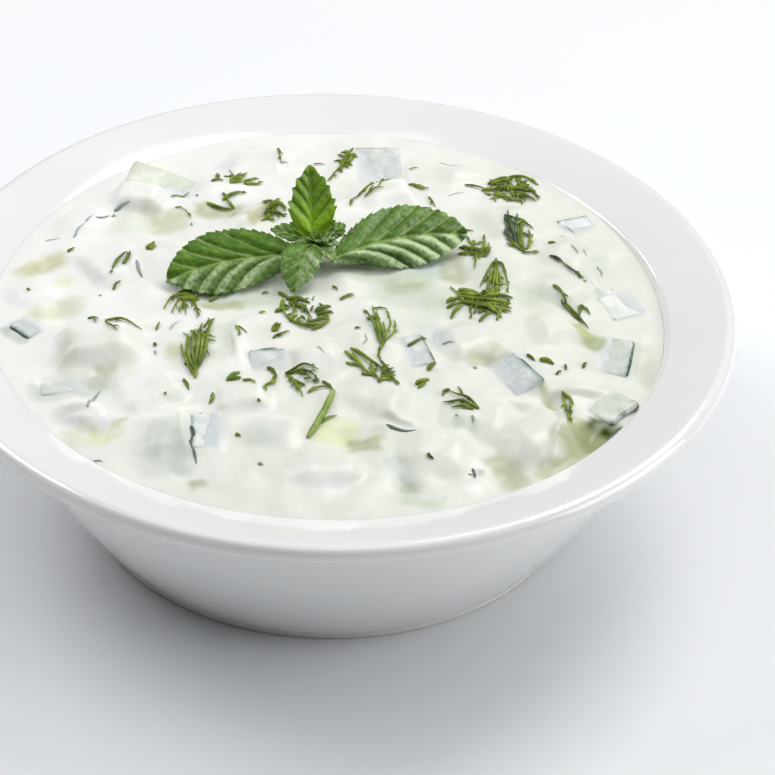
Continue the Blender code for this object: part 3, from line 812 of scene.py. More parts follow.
def run_midrib(base, heading, turn, length, pitch, bank):
    """Points along a midrib, and the left and up directions of the leaf at each."""
    middle = Vector(base)
    midrib = []
    for station in range(LEAF_STATIONS + 1):
        share = station / LEAF_STATIONS
        along, left, up = leaf_frame(heading + turn * share,
                                     pitch[0] + (pitch[1] - pitch[0]) * share,
                                     bank[0] + (bank[1] - bank[0]) * share)
        if station:
            middle = middle + along * (length / LEAF_STATIONS)
        midrib.append((middle, left, up))
    return np.array(midrib).transpose(1, 0, 2)


def make_leaf(name, base, heading, turn, length, width, pitch, bank, fold, widest, blunt, veins,
              teeth, bite, pucker, silver, young=0.0, dark=0.0, worn=0.0):
    """A blade whose midrib turns and droops from base to tip; fold lifts its left and right halves.

    pitch and bank are pairs, at the base and at the tip; teeth is their number a side and bite
    their depth; silver is how silvery the left and the right half are, from fine hairs
    with a painted highlight on them, and worn how much of that is missing halfway along the edge.
    Lengths are in millimetres.
    """
    points, lefts, ups = run_midrib(base, heading, turn, length, pitch, bank)
    bm = bmesh.new()
    bmesh.ops.create_grid(bm, x_segments=LEAF_STATIONS, y_segments=2 * LEAF_LANES, size=1)
    grid = np.array([vert.co for vert in bm.verts])
    station, side = (grid[:, 0] + 1) / 2, grid[:, 1]
    reach = abs(side)

    # The outline: unevenly spaced teeth, and none near the ends
    swell = np.sin(math.pi * station ** (math.log(0.5) / math.log(widest)))
    half = np.maximum(width / 2 * np.maximum(swell, 0) ** blunt, NARROWEST)
    tooth = (station * teeth + 0.22 * np.sin(station * 23 + base[0])) % 1
    notch = (tooth - 0.55) * bite * smooth(station * 8) * smooth((1 - station) * 10)
    across = side * (half + notch * reach**6)

    # The veins: rank counts them from base to tip, and steep is how fast it grows with distance
    lean = 1 + LEAF_SLANT * reach
    origin = station**lean  # where the vein through a point leaves the midrib
    rank = origin**VEIN_CROWDING * veins
    past_base = np.maximum(station, 0.02)
    steep = np.hypot(VEIN_CROWDING * lean * rank / past_base / length,
                     VEIN_CROWDING * LEAF_SLANT * abs(np.log(past_base)) * rank / half)
    to_vein = abs(rank - np.round(rank)) / np.maximum(steep, 0.05)
    phase = rank % 1

    # The relief: the blade swells between its veins, and is dented along them and along the midrib
    between = np.sin(math.pi * phase) ** 2
    fade = smooth(reach * 3) * smooth((1 - reach) * 3 + 0.2)
    swollen = 1 + 0.5 * waver(station * length, across, 3, base[0] + 5)
    furrow = 0.6 * np.exp(-(to_vein / FURROW_WIDTH) ** 2) * smooth(reach * 4)
    lift = pucker * swollen * (between * fade - furrow)
    lift -= 1.2 * pucker * np.exp(-(across / 0.55) ** 2)
    lift += 0.5 * pucker * waver(station * length, across, 1.3, base[0]) * smooth(reach * 4)
    lift += 0.45 * pucker * np.sin(station * 13 + side * 2) * reach**2

    # Each point is carried by the two stations of the midrib that it lies between
    at = station * LEAF_STATIONS
    low = np.clip(at.astype(int), 0, LEAF_STATIONS - 1)
    mix = (at - low)[:, None]
    middle = points[low] * (1 - mix) + points[low + 1] * mix
    left = lefts[low] * (1 - mix) + lefts[low + 1] * mix
    up = ups[low] * (1 - mix) + ups[low + 1] * mix
    raised = np.radians(np.where(side > 0, fold[0], fold[1]))
    place = middle + left * (across * np.cos(raised))[:, None]
    place += up * (abs(across) * np.sin(raised) + lift)[:, None]
    for vert, co in zip(bm.verts, place):
        vert.co = co * MM
    made = piece(name, bm, leaf_green)

    # The colours: pale veins; silvery hairs, painted brighter as a highlight on the far part of each
    # swelling; and painted shade on its near part, just past each vein
    vein = np.exp(-(to_vein / VEIN_WIDTH) ** 2) * (1 - 0.3 * reach) * smooth(rank - 0.5)
    vein = vein * (1 - 0.6 * young)
    midrib = 0.95 * np.exp(-(across / VEIN_WIDTH) ** 2) * smooth((1 - station) * 5)
    vein = np.maximum(vein, midrib)
    lit_streak = smooth((phase - 0.40) / 0.28) * smooth((1.02 - phase) / 0.14)
    patchy = np.clip(0.80 + 0.8 * waver(station * length, across, 0.7, 20), 0, 1)
    half_hairs_and_sheen = np.where(side > 0, silver[0], silver[1])
    bald = worn * smooth(reach * 4 - 1.2) * np.exp(-(((station - 0.36) / 0.24) ** 4)) * (side < 0)
    shine = half_hairs_and_sheen * (0.22 + 0.78 * lit_streak) * patchy * smooth(reach * 6) * (1 - bald)
    shine = np.minimum(shine, 0.95)
    fresh = young * (0.22 + 0.78 * np.exp(-(station / 0.36) ** 2) * (1 - 0.55 * reach))
    # Painted shade in the dent just past each vein, deeper on the hairier and younger blades
    trough_shade = smooth((0.36 - phase) / 0.22) * smooth(phase / 0.06) * smooth(reach * 5)
    trough_shade = trough_shade * (1 - vein) * np.minimum(0.21 + 0.39 * half_hairs_and_sheen + 0.25 * young, 0.7)
    murk = np.clip(dark * np.exp(-(station / 0.5) ** 2) + trough_shade + 0.4 * bald, 0, 0.9)
    store(made, vein=vein, silver=shine, young=fresh, dark=murk)
    thick = made.modifiers.new("thickness", "SOLIDIFY")
    thick.thickness = LEAF_THICKNESS
    thick.offset = 0
    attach(made, "root")
    return made


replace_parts(make_leaf("leaf_left", (-6.0, 9.0, 50.4), 181, 24, 27.8, 13.6, (3, -12), (-22, -32),
                      (-4, 4), 0.55, 0.62, veins=5, teeth=17, bite=0.5, pucker=0.36,
                      silver=(0.75, 0.05)), "mint_leaf_left")
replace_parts(make_leaf("leaf_right", (-0.4, 8.1, 50.1), 38, -34, 29.6, 13.4, (6, -6), (26, 34),
                      (2, -6), 0.56, 0.66, veins=5.5, teeth=17, bite=0.55, pucker=0.42,
                      silver=(0.42, 2.4), worn=0.5), "mint_leaf_right")
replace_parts(make_leaf("leaf_top", (-4.2, 13.2, 51.5), 96, 4, 14.8, 9.8, (60, 66), (0, 0),
                      (16, 16), 0.40, 0.70, veins=5, teeth=7, bite=0.85, pucker=0.34,
                      silver=(0.25, 0.12), young=1.0), "mint_leaf_top")
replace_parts(make_leaf("leaf_front", (-4.7, 10.4, 52.2), 250, 6, 12.0, 8.6, (-4, -43), (0, 0),
                      (14, 14), 0.42, 0.70, veins=4.5, teeth=7, bite=0.6, pucker=0.32,
                      silver=(1.0, 0.25)), "mint_leaf_front")
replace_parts(make_leaf("leaf_small_left", (-5.6, 13.4, 51.2), 162, 0, 7.5, 5.0, (14, 0), (-10, -10),
                      (15, 15), 0.45, 0.80, veins=3.5, teeth=5, bite=0.5, pucker=0.2,
                      silver=(0.4, 0.2)), "mint_leaf_small_left")
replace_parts(make_leaf("leaf_small_right", (-1.8, 13.6, 51.3), 44, 0, 5.6, 4.6, (24, 0), (10, 10),
                      (15, 15), 0.45, 0.80, veins=3.5, teeth=4, bite=0.5, pucker=0.2,
                      silver=(0.1, 0.2), dark=0.8), "mint_leaf_small_right")

# The bud's leaves: heading and pitch in degrees, length, and how silvery
BUD_LEAVES = (
    (308, -2, 6.2, 1.0), (352, 14, 5.0, 1.0), (24, 20, 5.4, 0.7), (75, 60, 3.4, 0.1),
    (200, 55, 2.8, 0.0), (206, 16, 5.0, 0.5), (182, 24, 4.2, 0.3), (325, 48, 3.2, 0.5),
    (140, 70, 3.0, 0.1), (268, 62, 2.4, 0.3),
)
for number, (heading, pitch, length, shine) in enumerate(BUD_LEAVES):
    make_leaf(f"bud_leaf_{number}", (-3.5, 11.9, 51.2), heading, 10, length, length * 0.6,
              (pitch, pitch - 25), (0, 0), (24, 24), 0.45, 0.8, veins=3, teeth=5, bite=0.25,
              pucker=0.14, silver=(shine, shine), young=0.5 if pitch > 50 else 0.0,
              dark=0.6 - 0.5 * shine)

bm = bmesh.new()
foot = float(dip_height(np.array(STEM_PLACE[:1]), np.array(STEM_PLACE[1:]))[0]) - STEM_SINK
bmesh.ops.create_cone(bm, cap_ends=True, segments=24, radius1=STEM_RADII[0] * MM,
                      radius2=STEM_RADII[1] * MM, depth=(STEM_TOP - foot) * MM)
upright = [e for e in bm.edges if abs(e.verts[0].co.z - e.verts[1].co.z) > 1 * MM]
bmesh.ops.subdivide_edges(bm, edges=upright, cuts=8)
for vert in bm.verts:
    turn = math.atan2(vert.co.y, vert.co.x)
    vert.co.xy *= 1 + STEM_SQUARE * math.cos(4 * turn)
bmesh.ops.translate(bm, verts=bm.verts, vec=Vector((*STEM_PLACE, (STEM_TOP + foot) / 2)) * MM)
stem = piece("sprig_stem", bm, leaf_green, smooth_below=40)
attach(stem, "root")
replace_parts(stem, "mint_stem")

# The dill.
# Fresh dill, chopped: bits of thread-like fronds, short lengths of stalk and single needles. Most lie
# on top of the yogurt; a few are under its surface and look grey.

# Each strand: where it starts and ends, how far it bows to the left of that line, and its radius.
# Millimetres.
DILL = (
    (-20.6, 32.7, -22.4, 36.9, 0.2, 0.34), (-26.2, 34.3, -20.8, 32.5, -0.4, 0.37),
    (-23.0, 35.7, -18.9, 38.1, 0.2, 0.39), (-22.3, 36.5, -23.1, 37.4, 0.1, 0.29),
    (-24.6, 47.2, -24.2, 41.4, 0.2, 0.37), (-25.6, 41.0, -23.0, 41.4, 0.3, 0.26),
    (-21.6, 41.0, -19.5, 46.8, 0.5, 0.34), (-21.5, 42.7, -18.1, 46.9, 0.5, 0.23),
    (-21.7, 40.3, -19.3, 42.3, 0.2, 0.31), (-19.1, 43.1, -15.8, 44.7, 0.3, 0.28),
    (-18.9, 42.2, -15.4, 42.5, -0.2, 0.33), (-20.3, 44.6, -18.8, 45.6, 0.0, 0.25),
    (-33.7, 37.0, -30.2, 41.0, -0.5, 0.21), (-32.7, 32.6, -30.9, 31.8, 0.3, 0.16),
    (-30.9, 31.8, -29.3, 27.7, 0.2, 0.12), (-29.1, 25.6, -28.9, 25.1, 0.0, 0.20),
    (-37.5, 15.6, -36.1, 18.3, 0.1, 0.51), (-36.9, 15.7, -35.8, 17.5, 0.0, 0.37),
    (-43.9, 6.7, -41.5, 12.5, 0.2, 0.33), (-41.9, 8.3, -40.7, 12.5, -0.3, 0.41),
    (-44.2, 5.5, -43.8, 6.2, 0.0, 0.28), (-43.6, 2.1, -42.2, 4.4, 0.2, 0.28),
    (-53.6, 16.7, -52.2, 18.0, 0.1, 0.26), (-60.7, 2.3, -59.9, 1.7, 0.0, 0.25),
    (-33.2, 5.1, -30.7, 3.8, 0.3, 0.20),
    (-29.6, 2.5, -33.1, -5.4, -0.3, 0.34), (-29.9, 0.8, -31.6, -7.1, 0.2, 0.26),
    (-29.4, 1.0, -30.0, -7.5, 0.3, 0.28), (-28.7, 1.2, -28.8, -7.9, -0.3, 0.28),
    (-28.4, 1.2, -27.6, -5.2, 0.3, 0.28), (-28.1, 1.3, -26.5, -9.0, 0.4, 0.26),
    (-30.6, 2.0, -24.9, 2.2, 0.4, 0.34), (-30.3, 1.1, -27.3, 0.8, 0.3, 0.57),
    (-25.3, 2.5, -23.0, 2.2, 0.2, 0.26), (-24.4, -0.4, -22.0, 1.7, 0.2, 0.34),
    (-47.6, -11.8, -45.4, -12.6, 0.1, 0.24), (-47.4, -11.4, -45.8, -13.6, 0.2, 0.22),
    (-44.1, -13.2, -37.0, -12.6, -0.3, 0.26), (-44.1, -13.8, -41.4, -16.9, 0.1, 0.20),
    (-34.3, -12.6, -33.7, -10.1, 0.0, 0.26), (-34.5, -17.2, -34.0, -17.6, 0.0, 0.41),
    (-26.0, -27.6, -29.1, -18.7, 0.5, 0.34), (-26.0, -26.5, -27.9, -15.2, 0.8, 0.34),
    (-26.0, -26.5, -26.9, -13.7, 0.4, 0.28), (-26.0, -26.5, -25.4, -10.6, 0.2, 0.43),
    (-26.0, -26.0, -24.3, -12.5, -0.9, 0.36), (-24.9, -17.6, -23.7, -8.7, -0.3, 0.33),
    (-24.0, -9.3, -25.2, -12.1, 0.1, 0.25), (-26.2, -25.6, -27.3, -16.9, 0.9, 0.30),
    (-25.8, -24.5, -25.0, -13.2, -0.4, 0.36), (-26.0, -28.0, -25.9, -20.5, 0.1, 0.43),
    (-18.8, -12.7, -17.6, -15.5, -0.1, 0.28), (-18.6, -12.8, -16.5, -14.3, 0.2, 0.20),
    (-14.4, -6.5, -13.1, -6.2, 0.0, 0.23), (-14.0, 1.3, -12.7, 1.6, 0.1, 0.20),
    (-28.2, -28.8, -27.0, -32.0, 0.1, 0.36), (-31.6, -34.3, -31.2, -34.5, 0.0, 0.31),
    (-22.4, -33.1, -23.0, -35.7, 0.1, 0.41), (-19.9, -29.2, -17.5, -26.4, 0.3, 0.49),
    (-19.4, -28.9, -17.2, -28.2, 0.0, 0.45), (-16.9, -29.2, -14.5, -31.3, 0.1, 0.31),
    (-12.3, -24.7, -10.5, -27.1, 0.2, 0.38), (-10.5, -27.1, -12.9, -32.7, 0.3, 0.41),
    (-13.9, -35.8, -13.3, -36.1, 0.0, 0.28), (-17.8, -44.3, -16.8, -44.7, 0.0, 0.34),
    (-11.5, -15.8, -8.2, -13.0, 0.1, 0.28), (-11.5, -13.3, -10.6, -10.1, 0.3, 0.41),
    (-11.1, -13.2, -10.2, -10.5, -0.1, 0.41),
    (-10.8, 1.4, -8.4, -1.6, 0.1, 0.39), (-9.2, -1.1, -4.4, -3.2, 0.2, 0.51),
    (-9.9, -1.4, -9.1, -7.9, -0.4, 0.46), (-11.3, -6.3, -8.4, -5.0, 0.2, 0.43),
    (-8.9, -8.6, -6.7, -7.1, -0.3, 0.37), (-7.6, -2.9, -4.0, -8.2, 0.3, 0.38),
    (-8.3, -8.8, -3.4, -11.8, -0.9, 0.33), (-3.6, -11.8, -0.6, -8.6, -0.5, 0.38),
    (-5.0, -9.3, -0.5, -8.2, -0.3, 0.31), (-3.3, -6.1, -0.3, -4.2, 0.4, 0.54),
    (-3.1, -7.0, -0.1, -5.7, 0.1, 0.41), (-6.6, -3.5, -5.0, -7.0, 0.6, 0.33),
    (-8.4, -2.5, -7.8, -7.0, 0.5, 0.38), (-5.4, -10.4, -2.4, -10.1, -0.4, 0.33),
    (-8.9, -26.4, -2.5, -26.9, 0.7, 0.28), (-8.6, -26.7, -2.8, -28.5, 0.5, 0.23),
    (-6.8, -27.0, -3.0, -29.7, 0.2, 0.16), (-8.7, -26.7, -5.4, -33.4, 0.3, 0.34),
    (-7.4, -28.8, -4.9, -30.5, 0.1, 0.28), (-6.4, -26.7, -3.4, -27.8, 0.1, 0.20),
    (-4.5, -32.3, -0.5, -30.5, 0.4, 0.26), (-1.7, -29.1, 0.4, -32.2, 0.4, 0.31),
    (-1.9, -41.0, 1.2, -38.6, 0.4, 0.28),
    (-0.1, 2.3, 1.0, 0.9, 0.1, 0.23), (1.4, -1.8, 4.0, 0.0, 0.0, 0.30),
    (4.4, -13.7, 5.5, -13.6, 0.1, 0.23),
    (9.2, -18.7, 10.5, -16.1, 0.2, 0.41), (9.8, -17.4, 6.0, -5.2, 0.5, 0.28),
    (9.5, -16.7, 7.9, -3.8, 0.3, 0.31), (9.6, -16.7, 8.7, -5.3, 0.2, 0.28),
    (8.0, -4.7, 10.8, -4.3, 0.0, 0.21), (10.2, -15.3, 8.9, -8.4, 0.3, 0.23),
    (10.2, -16.1, 10.9, -5.1, -0.7, 0.25), (10.3, -16.1, 12.0, -7.7, -1.1, 0.26),
    (10.0, -15.9, 10.2, -9.2, 0.2, 0.23),
    (3.6, -18.9, 10.6, -25.0, 0.2, 0.39), (10.0, -24.3, 12.7, -30.2, 0.3, 0.34),
    (9.0, -18.9, 9.4, -21.7, -0.1, 0.28), (9.4, -21.6, 12.4, -28.9, 0.3, 0.31),
    (2.5, -19.6, 6.2, -24.7, 0.2, 0.36), (2.8, -23.6, 5.8, -23.5, 0.2, 0.31),
    (4.0, -20.1, 8.4, -28.0, -0.2, 0.33), (7.5, -22.4, 9.4, -30.1, -0.3, 0.36),
    (8.9, -29.6, 11.2, -27.8, 0.2, 0.41), (9.8, -24.5, 11.2, -29.0, 0.2, 0.36),
    (14.6, -16.3, 18.4, -13.4, 0.0, 0.31), (18.6, -23.6, 20.1, -21.7, 0.2, 0.54),
    (16.2, -28.2, 18.8, -26.8, 0.3, 0.49), (16.6, -29.3, 18.2, -27.8, 0.1, 0.33),
    (28.1, -35.8, 22.4, -29.8, -0.4, 0.30), (22.6, -29.6, 21.2, -31.4, -0.3, 0.34),
    (25.2, -30.7, 24.2, -28.4, 0.0, 0.25), (28.0, -35.8, 21.3, -33.0, -0.3, 0.33),
    (27.1, -36.1, 22.8, -35.1, 0.2, 0.30), (18.1, -50.1, 19.3, -51.1, 0.0, 0.34),
    (37.9, -16.2, 39.5, -17.6, 0.1, 0.34), (40.4, -16.9, 43.2, -17.8, 0.3, 0.49),
    (45.4, -17.7, 45.5, -19.4, 0.0, 0.30), (43.4, -20.8, 44.6, -19.6, 0.0, 0.25),
    (48.8, -17.7, 49.6, -15.8, 0.0, 0.34), (44.4, -26.7, 44.9, -39.2, 0.3, 0.28),
    (44.5, -26.7, 46.5, -30.1, 0.2, 0.36), (45.7, -29.3, 45.2, -38.0, 0.2, 0.28),
    (43.9, 6.6, 46.5, 2.0, 0.1, 0.38), (46.0, 2.3, 50.6, -4.2, 0.3, 0.36),
    (45.4, 2.7, 47.8, -1.6, 0.2, 0.26), (47.1, 0.6, 49.8, -2.2, 0.2, 0.25),
    (49.4, 2.8, 51.2, 0.5, 0.2, 0.28), (49.3, 2.6, 49.1, -0.3, -0.2, 0.31),
    (43.7, 18.8, 46.9, 16.3, 0.2, 0.21), (48.8, 14.1, 49.8, 10.9, 0.2, 0.21),
    (43.6, 24.0, 45.2, 23.8, 0.2, 0.28), (50.2, 10.5, 50.9, 10.0, 0.0, 0.16),
    (32.8, 16.7, 31.3, 2.1, 0.4, 0.43), (32.7, 16.1, 29.2, 4.8, 0.5, 0.36),
    (33.0, 15.7, 34.8, 3.2, 0.4, 0.30), (32.8, 15.5, 32.7, 1.8, -0.2, 0.43),
    (31.8, 9.2, 30.3, 2.8, 0.2, 0.49), (33.0, 9.2, 33.5, 4.8, 0.0, 0.33),
    (24.9, 3.6, 30.3, 1.7, 0.5, 0.54), (29.5, 1.9, 35.7, 2.2, 0.2, 0.46),
    (24.7, 1.6, 35.3, 0.7, -0.5, 0.49), (25.1, 2.6, 30.6, 3.1, -0.5, 0.46),
    (22.5, -1.1, 25.5, 0.8, 0.3, 0.41), (22.5, -2.8, 25.5, -0.7, 0.2, 0.36),
    (23.2, -6.6, 25.9, -1.1, 0.4, 0.34), (23.3, 4.2, 24.9, 1.7, 0.0, 0.18),
    (27.0, -1.3, 27.3, -5.6, 0.1, 0.25), (28.9, -6.6, 31.3, -2.7, 0.2, 0.36),
    (29.9, -1.3, 33.3, -4.4, 0.3, 0.49), (32.3, -5.4, 33.9, -1.4, 0.2, 0.30),
    (33.1, -1.9, 35.5, -0.9, 0.2, 0.21), (25.5, -0.0, 33.9, -2.1, -0.4, 0.54),
    (27.0, 23.7, 27.8, 21.0, 0.1, 0.30), (26.8, 26.6, 28.4, 26.2, 0.1, 0.18),
    (30.6, 24.8, 29.6, 17.4, 0.3, 0.30), (25.4, 19.3, 31.3, 19.4, -0.4, 0.36),
    (25.0, 16.9, 30.7, 16.9, 0.3, 0.28), (28.3, 22.1, 27.5, 16.7, 0.2, 0.28),
    (28.7, 17.4, 28.1, 11.8, 0.2, 0.26), (30.5, 16.6, 31.7, 20.6, -0.3, 0.23),
    (26.0, 19.9, 29.2, 17.6, 0.2, 0.34), (31.4, 22.2, 30.5, 16.8, 0.2, 0.21),
    (27.0, 45.2, 31.6, 44.3, 0.2, 0.21), (30.5, 43.7, 36.0, 44.4, 0.3, 0.38),
    (36.4, 43.8, 41.9, 42.8, 0.2, 0.34),
    (31.9, 46.6, 36.8, 48.6, 0.2, 0.34), (36.2, 48.8, 42.2, 49.4, 0.2, 0.34),
    (33.0, 42.2, 36.3, 41.4, 0.1, 0.32), (37.2, 42.2, 41.8, 40.1, 0.2, 0.34),
    (33.9, 44.7, 40.3, 42.3, 0.4, 0.57), (33.6, 43.8, 33.0, 39.6, 0.3, 0.30),
    (35.4, 43.0, 35.9, 39.6, 0.1, 0.30), (36.0, 46.4, 36.5, 42.7, 0.5, 0.34),
    (38.2, 47.6, 39.4, 42.5, -0.4, 0.34), (40.6, 49.6, 42.0, 46.8, 0.3, 0.34),
    (40.1, 42.9, 42.3, 40.4, 0.4, 0.30), (32.3, 46.0, 36.9, 46.5, 0.4, 0.33),
    (38.3, 20.6, 35.5, 25.5, 0.5, 0.34),
    (38.5, 21.1, 38.4, 29.6, 0.3, 0.44), (39.1, 21.4, 39.7, 27.2, -0.6, 0.39),
    (38.1, 20.1, 41.3, 21.1, -0.3, 0.21),
    (38.1, 22.0, 37.7, 28.1, 0.3, 0.33),
    (-1.5, 44.0, 1.2, 51.2, -0.3, 0.25), (0.8, 49.0, 2.2, 57.0, -0.3, 0.43),
    (1.8, 52.6, 3.0, 57.9, 0.2, 0.43), (3.2, 53.1, 3.9, 55.5, 0.3, 0.43),
    (1.4, 48.3, 1.8, 51.7, 0.3, 0.28), (1.2, 51.9, 3.4, 54.9, 0.3, 0.49),
    (3.1, 34.1, 5.0, 37.5, 0.2, 0.20), (4.5, 36.8, 9.7, 42.7, 0.3, 0.26),
    (8.9, 37.8, 13.6, 46.3, 0.5, 0.23), (6.0, 36.8, 10.1, 38.0, 0.1, 0.18),
    (10.4, 46.5, 12.6, 46.3, 0.3, 0.36), (15.3, 39.6, 19.6, 43.2, 0.2, 0.31),
    (16.3, 40.7, 18.9, 42.8, -0.3, 0.39), (19.4, 39.2, 20.7, 35.0, 0.1, 0.25),
    (15.5, 50.7, 17.4, 51.7, 0.0, 0.15), (-12.4, 58.0, -11.4, 50.3, 0.1, 0.23),
    (-11.5, 49.8, -9.8, 51.5, 0.0, 0.12), (-4.6, 51.6, -2.2, 51.6, 0.1, 0.15),
    (-13.4, 30.0, -9.8, 31.3, 0.5, 0.49), (-13.6, 29.3, -15.0, 27.1, 0.5, 0.36),
    (-14.0, 29.4, -12.6, 26.5, 0.3, 0.34), (-12.8, 30.2, -10.0, 28.7, 0.2, 0.38),
)

# Pale cut stalk, as above, laid from both ends
STALKS = (
    (0.5, -31.6, -4.2, -45.6, 0.3, 0.68), (-4.2, -45.6, 0.5, -31.6, -0.3, 0.68),
)

# Dark, wet strands, as above
DILL_WET = (
    (35.6, 25.3, 34.8, 31.0, 0.2, 0.30), (37.1, 23.0, 35.5, 33.7, 0.5, 0.32),
    (36.5, 25.9, 37.5, 32.3, -0.2, 0.28), (36.4, 24.0, 34.8, 26.1, 0.3, 0.38),
    (37.6, 22.0, 36.2, 29.5, 0.3, 0.34), (38.6, 20.8, 38.2, 25.4, 0.2, 0.36),
    (43.7, 18.8, 46.9, 16.3, 0.2, 0.28), (46.7, 16.6, 49.8, 11.9, 0.2, 0.26),
)

# Strands under the surface, as above
DILL_UNDER = (
    (-45.2, 32.7, -42.0, 33.7, 0.2, 0.50), (-45.0, 31.2, -45.6, 29.8, 0.1, 0.35),
    (-39.3, 9.8, -37.9, 5.7, -0.2, 0.42), (-52.9, 22.2, -50.7, 26.6, 0.3, 0.22),
    (-50.7, 26.6, -49.3, 28.9, 0.1, 0.22), (-48.6, 28.4, -46.0, 30.1, -0.5, 0.26),
    (-31.6, -13.1, -30.1, -9.8, 0.2, 0.28), (-34.2, -18.8, -33.9, -20.3, 0.0, 0.30),
    (-46.0, -37.9, -44.1, -30.4, 0.2, 0.40), (-13.2, -52.4, -12.4, -53.0, 0.0, 0.50),
    (-15.8, -19.8, -10.4, -18.6, 0.2, 0.32), (6.5, -15.2, 6.0, -17.9, 0.3, 0.24),
    (-4.0, -2.3, -3.4, -0.3, 0.2, 0.24), (-2.8, -20.3, -1.6, -23.5, 0.1, 0.26),
    (21.4, -14.9, 23.9, -15.7, 0.1, 0.32), (26.8, -37.8, 26.9, -39.6, 0.1, 0.28),
    (23.6, -37.6, 24.1, -38.1, 0.0, 0.30), (27.4, -21.8, 28.1, -21.4, 0.0, 0.32),
    (47.2, 32.2, 49.6, 29.4, 0.2, 0.26), (48.3, 22.8, 49.6, 19.8, 0.2, 0.30),
    (50.6, 21.6, 51.3, 19.6, 0.1, 0.24), (53.5, 18.0, 54.2, 14.0, 0.2, 0.34),
    (21.9, 55.5, 27.3, 51.8, 0.2, 0.16), (-22.1, 48.9, -21.7, 45.9, 0.2, 0.20),
    (23.5, 40.8, 27.0, 42.9, 0.0, 0.18), (-44.0, -50.4, -42.2, -50.8, 0.0, 0.28),
    (-28.4, 37.2, -28.1, 36.8, 0.0, 0.34), (-58.5, 22.4, -55.5, 22.7, 0.1, 0.22),
    (-46.1, 0.1, -45.7, -0.2, 0.0, 0.30),
)

# Where fine needles are crowded: x, y, spread in x and in y, how many, their length and radius
TUFTS = (
    (36.4, 44.4, 4.6, 4.0, 60, 2.0, 0.24), (36.7, 26.0, 2.0, 6.0, 12, 2.4, 0.24),
    (30.1, 0.2, 5.2, 3.0, 46, 2.2, 0.26), (31.8, 5.5, 1.6, 4.0, 10, 2.0, 0.26),
    (28.5, 19.3, 2.2, 3.4, 22, 1.8, 0.24), (-6.0, -6.0, 4.6, 4.2, 24, 1.6, 0.26),
    (2.4, 54.8, 1.1, 3.4, 26, 1.6, 0.24), (-12.6, 29.7, 1.8, 2.6, 20, 1.6, 0.22),
    (-28.9, 0.4, 2.6, 1.8, 16, 2.0, 0.26), (-25.8, -19.2, 1.2, 5.0, 10, 3.0, 0.26),
    (9.0, -24.9, 1.8, 2.4, 12, 1.8, 0.24), (9.6, 42.8, 2.4, 1.8, 10, 1.2, 0.18),
    (-19.9, 44.1, 2.6, 1.8, 10, 1.4, 0.20), (17.6, 42.9, 1.2, 0.6, 6, 1.0, 0.22),
    (-5.6, -28.8, 1.6, 1.8, 8, 1.4, 0.20),
)

STALK_RADIUS = 0.46  # a strand thicker than this is smooth stalk, without needles
BEND_POINTS = 8  # along each strand


def lay_strand(curve, chance, row, lift):
    """Adds one tapered strand to a curve; it follows the surface, lifted in its middle."""
    x0, y0, x1, y1, bow, radius = row
    run = max(math.hypot(x1 - x0, y1 - y0), 0.01)
    sideways = (y0 - y1) / run, (x1 - x0) / run
    shares = np.linspace(0, 1, BEND_POINTS)
    swing = bow * np.sin(math.pi * shares) + chance.uniform(-0.12, 0.12) * np.sin(9 * shares)
    px = x0 + (x1 - x0) * shares + sideways[0] * swing
    py = y0 + (y1 - y0) * shares + sideways[1] * swing
    pz = dip_height(px, py) + lift + min(0.05 * run, 0.5) * np.sin(math.pi * shares) * (lift > 0)
    ends = np.minimum(1, 0.55 + 3 * shares) * (1 - 0.75 * shares**3)
    spline = curve.splines.new("POLY")
    spline.points.add(len(shares) - 1)
    for point, sx, sy, sz, end in zip(spline.points, px, py, pz, ends):
        point.co = (sx * MM, sy * MM, sz * MM, 1)
        point.radius = radius * end


def add_needles(curve, chance, row, lift, crowd):
    """Adds fine needles to the sides of one strand; crowd is how many to a millimetre."""
    x0, y0, x1, y1, bow, radius = row
    run = math.hypot(x1 - x0, y1 - y0)
    for _ in range(int(run * crowd) if radius < STALK_RADIUS else 0):
        share, side = chance.uniform(0.15, 0.95), chance.choice((-1, 1))
        way = math.atan2(y1 - y0, x1 - x0) + side * chance.uniform(0.2, 0.6)
        long = chance.uniform(0.8, 1.7)
        px = x0 + (x1 - x0) * share - (y1 - y0) / run * bow * math.sin(math.pi * share)
        py = y0 + (y1 - y0) * share + (x1 - x0) / run * bow * math.sin(math.pi * share)
        needle = (px, py, px + long * math.cos(way), py + long * math.sin(way),
                  0.1 * side, chance.uniform(0.14, 0.24))
        lay_strand(curve, chance, needle, lift + 0.1)


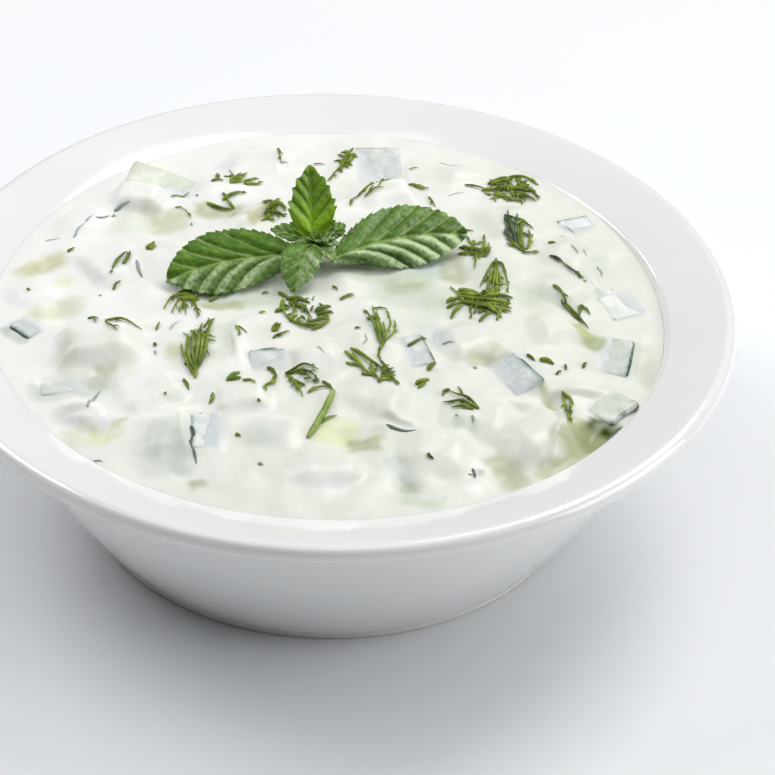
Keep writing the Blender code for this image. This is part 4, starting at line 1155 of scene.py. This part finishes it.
def lay_strands(name, rows, finish, lift, tufts=(), needles=0.0):
    """One piece made of many strands; lift is how far their ends lie above the dip, in
    millimetres, and needles how many a millimetre of strand carries."""
    chance = random.Random(7)
    curve = bpy.data.curves.new(name, "CURVE")
    curve.dimensions = "3D"
    curve.bevel_depth = 1 * MM
    curve.bevel_resolution = 1
    curve.use_fill_caps = True
    for row in rows:
        lay_strand(curve, chance, row, lift)
        add_needles(curve, chance, row, lift, needles)
    for cx, cy, spread_x, spread_y, count, length, radius in tufts:
        for _ in range(count):
            turn, out = chance.uniform(0, math.tau), math.sqrt(chance.random())
            px, py = cx + spread_x * out * math.cos(turn), cy + spread_y * out * math.sin(turn)
            way, long = chance.uniform(0, math.tau), length * chance.uniform(0.6, 1.2)
            row = (px, py, px + long * math.cos(way), py + long * math.sin(way),
                   chance.uniform(-0.3, 0.3), radius)
            lay_strand(curve, chance, row, lift + chance.uniform(0, 0.7) * (1 - out))
    draft = bpy.data.objects.new(name + "_draft", curve)
    bpy.context.scene.collection.objects.link(draft)
    finished = draft.evaluated_get(bpy.context.evaluated_depsgraph_get())
    mesh = bpy.data.meshes.new_from_object(finished)
    bpy.data.objects.remove(draft)
    bm = bmesh.new()
    bm.from_mesh(mesh)
    bpy.data.meshes.remove(mesh)
    made = piece(name, bm, finish)
    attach(made, "root")


dill_green = mottled("dill_fresh", 260.0, 3.0, 0.7,
                     ((0.30, (0.055, 0.095, 0.004)), (0.50, (0.145, 0.215, 0.014)),
                      (0.70, (0.31, 0.40, 0.055))),
                     Roughness=0.45, Subsurface_Weight=0.1, Subsurface_Scale=0.0004,
                     Specular_IOR_Level=0.35)
dill_dark = mottled("dill_wet", 260.0, 3.0, 0.7,
                    ((0.30, (0.022, 0.045, 0.014)), (0.50, (0.055, 0.095, 0.035)),
                     (0.70, (0.130, 0.190, 0.060))), Roughness=0.3, Specular_IOR_Level=0.4)
dill_grey = mottled("dill_under_yogurt", 300.0, 2.0, 0.5,
                    ((0.35, (0.26, 0.31, 0.26)), (0.65, (0.46, 0.52, 0.47))),
                    Roughness=0.4, Subsurface_Weight=0.3, Subsurface_Scale=0.001)
stalk_pale = mottled("dill_stalk", 500.0, 3.0, 0.7,
                     ((0.35, (0.17, 0.27, 0.030)), (0.65, (0.34, 0.46, 0.110))),
                     Roughness=0.4, Subsurface_Weight=0.15, Subsurface_Scale=0.0006)
lay_strands("dill", DILL, dill_green, 0.25, TUFTS, needles=0.35)
lay_strands("dill_stalk", STALKS, stalk_pale, 0.3)
lay_strands("dill_dark", DILL_WET, dill_dark, 0.2, needles=0.5)
lay_strands("dill_sunk", DILL_UNDER, dill_grey, -0.05)

# The edges of skin.
# Thin edges of dark green cucumber skin, on pieces that the yogurt covers. They come just through its
# surface, and are laid like the strands of dill.
SKIN_EDGES = (
    (10.6, -40.3, 16.6, -43.2, -0.3, 0.50), (11.0, -40.9, 14.0, -42.0, 0.0, 0.40),
    (-24.6, -37.6, -26.3, -43.6, 0.2, 0.26), (-26.2, -42.2, -26.2, -47.6, 0.5, 0.66),
    (-26.4, -46.8, -24.8, -53.4, 0.4, 0.36), (26.6, -51.6, 27.0, -54.4, 0.1, 0.42),
    (25.8, -53.0, 27.4, -53.8, 0.0, 0.25), (52.6, -39.4, 56.4, -34.2, 0.5, 0.40),
    (31.4, -20.2, 34.8, -16.6, 0.1, 0.16), (-15.7, -19.7, -9.6, -18.2, 0.2, 0.24),
    (46.4, 28.8, 47.4, 25.4, 0.2, 0.18), (56.2, 12.0, 57.6, 3.0, -0.6, 0.18),
)
skin_green = mottled("cucumber_skin", 300.0, 2.0, 0.5,
                     ((0.35, (0.035, 0.060, 0.045)), (0.65, (0.13, 0.18, 0.15))), Roughness=0.25)
lay_strands("skin_edges", SKIN_EDGES, skin_green, -0.15)
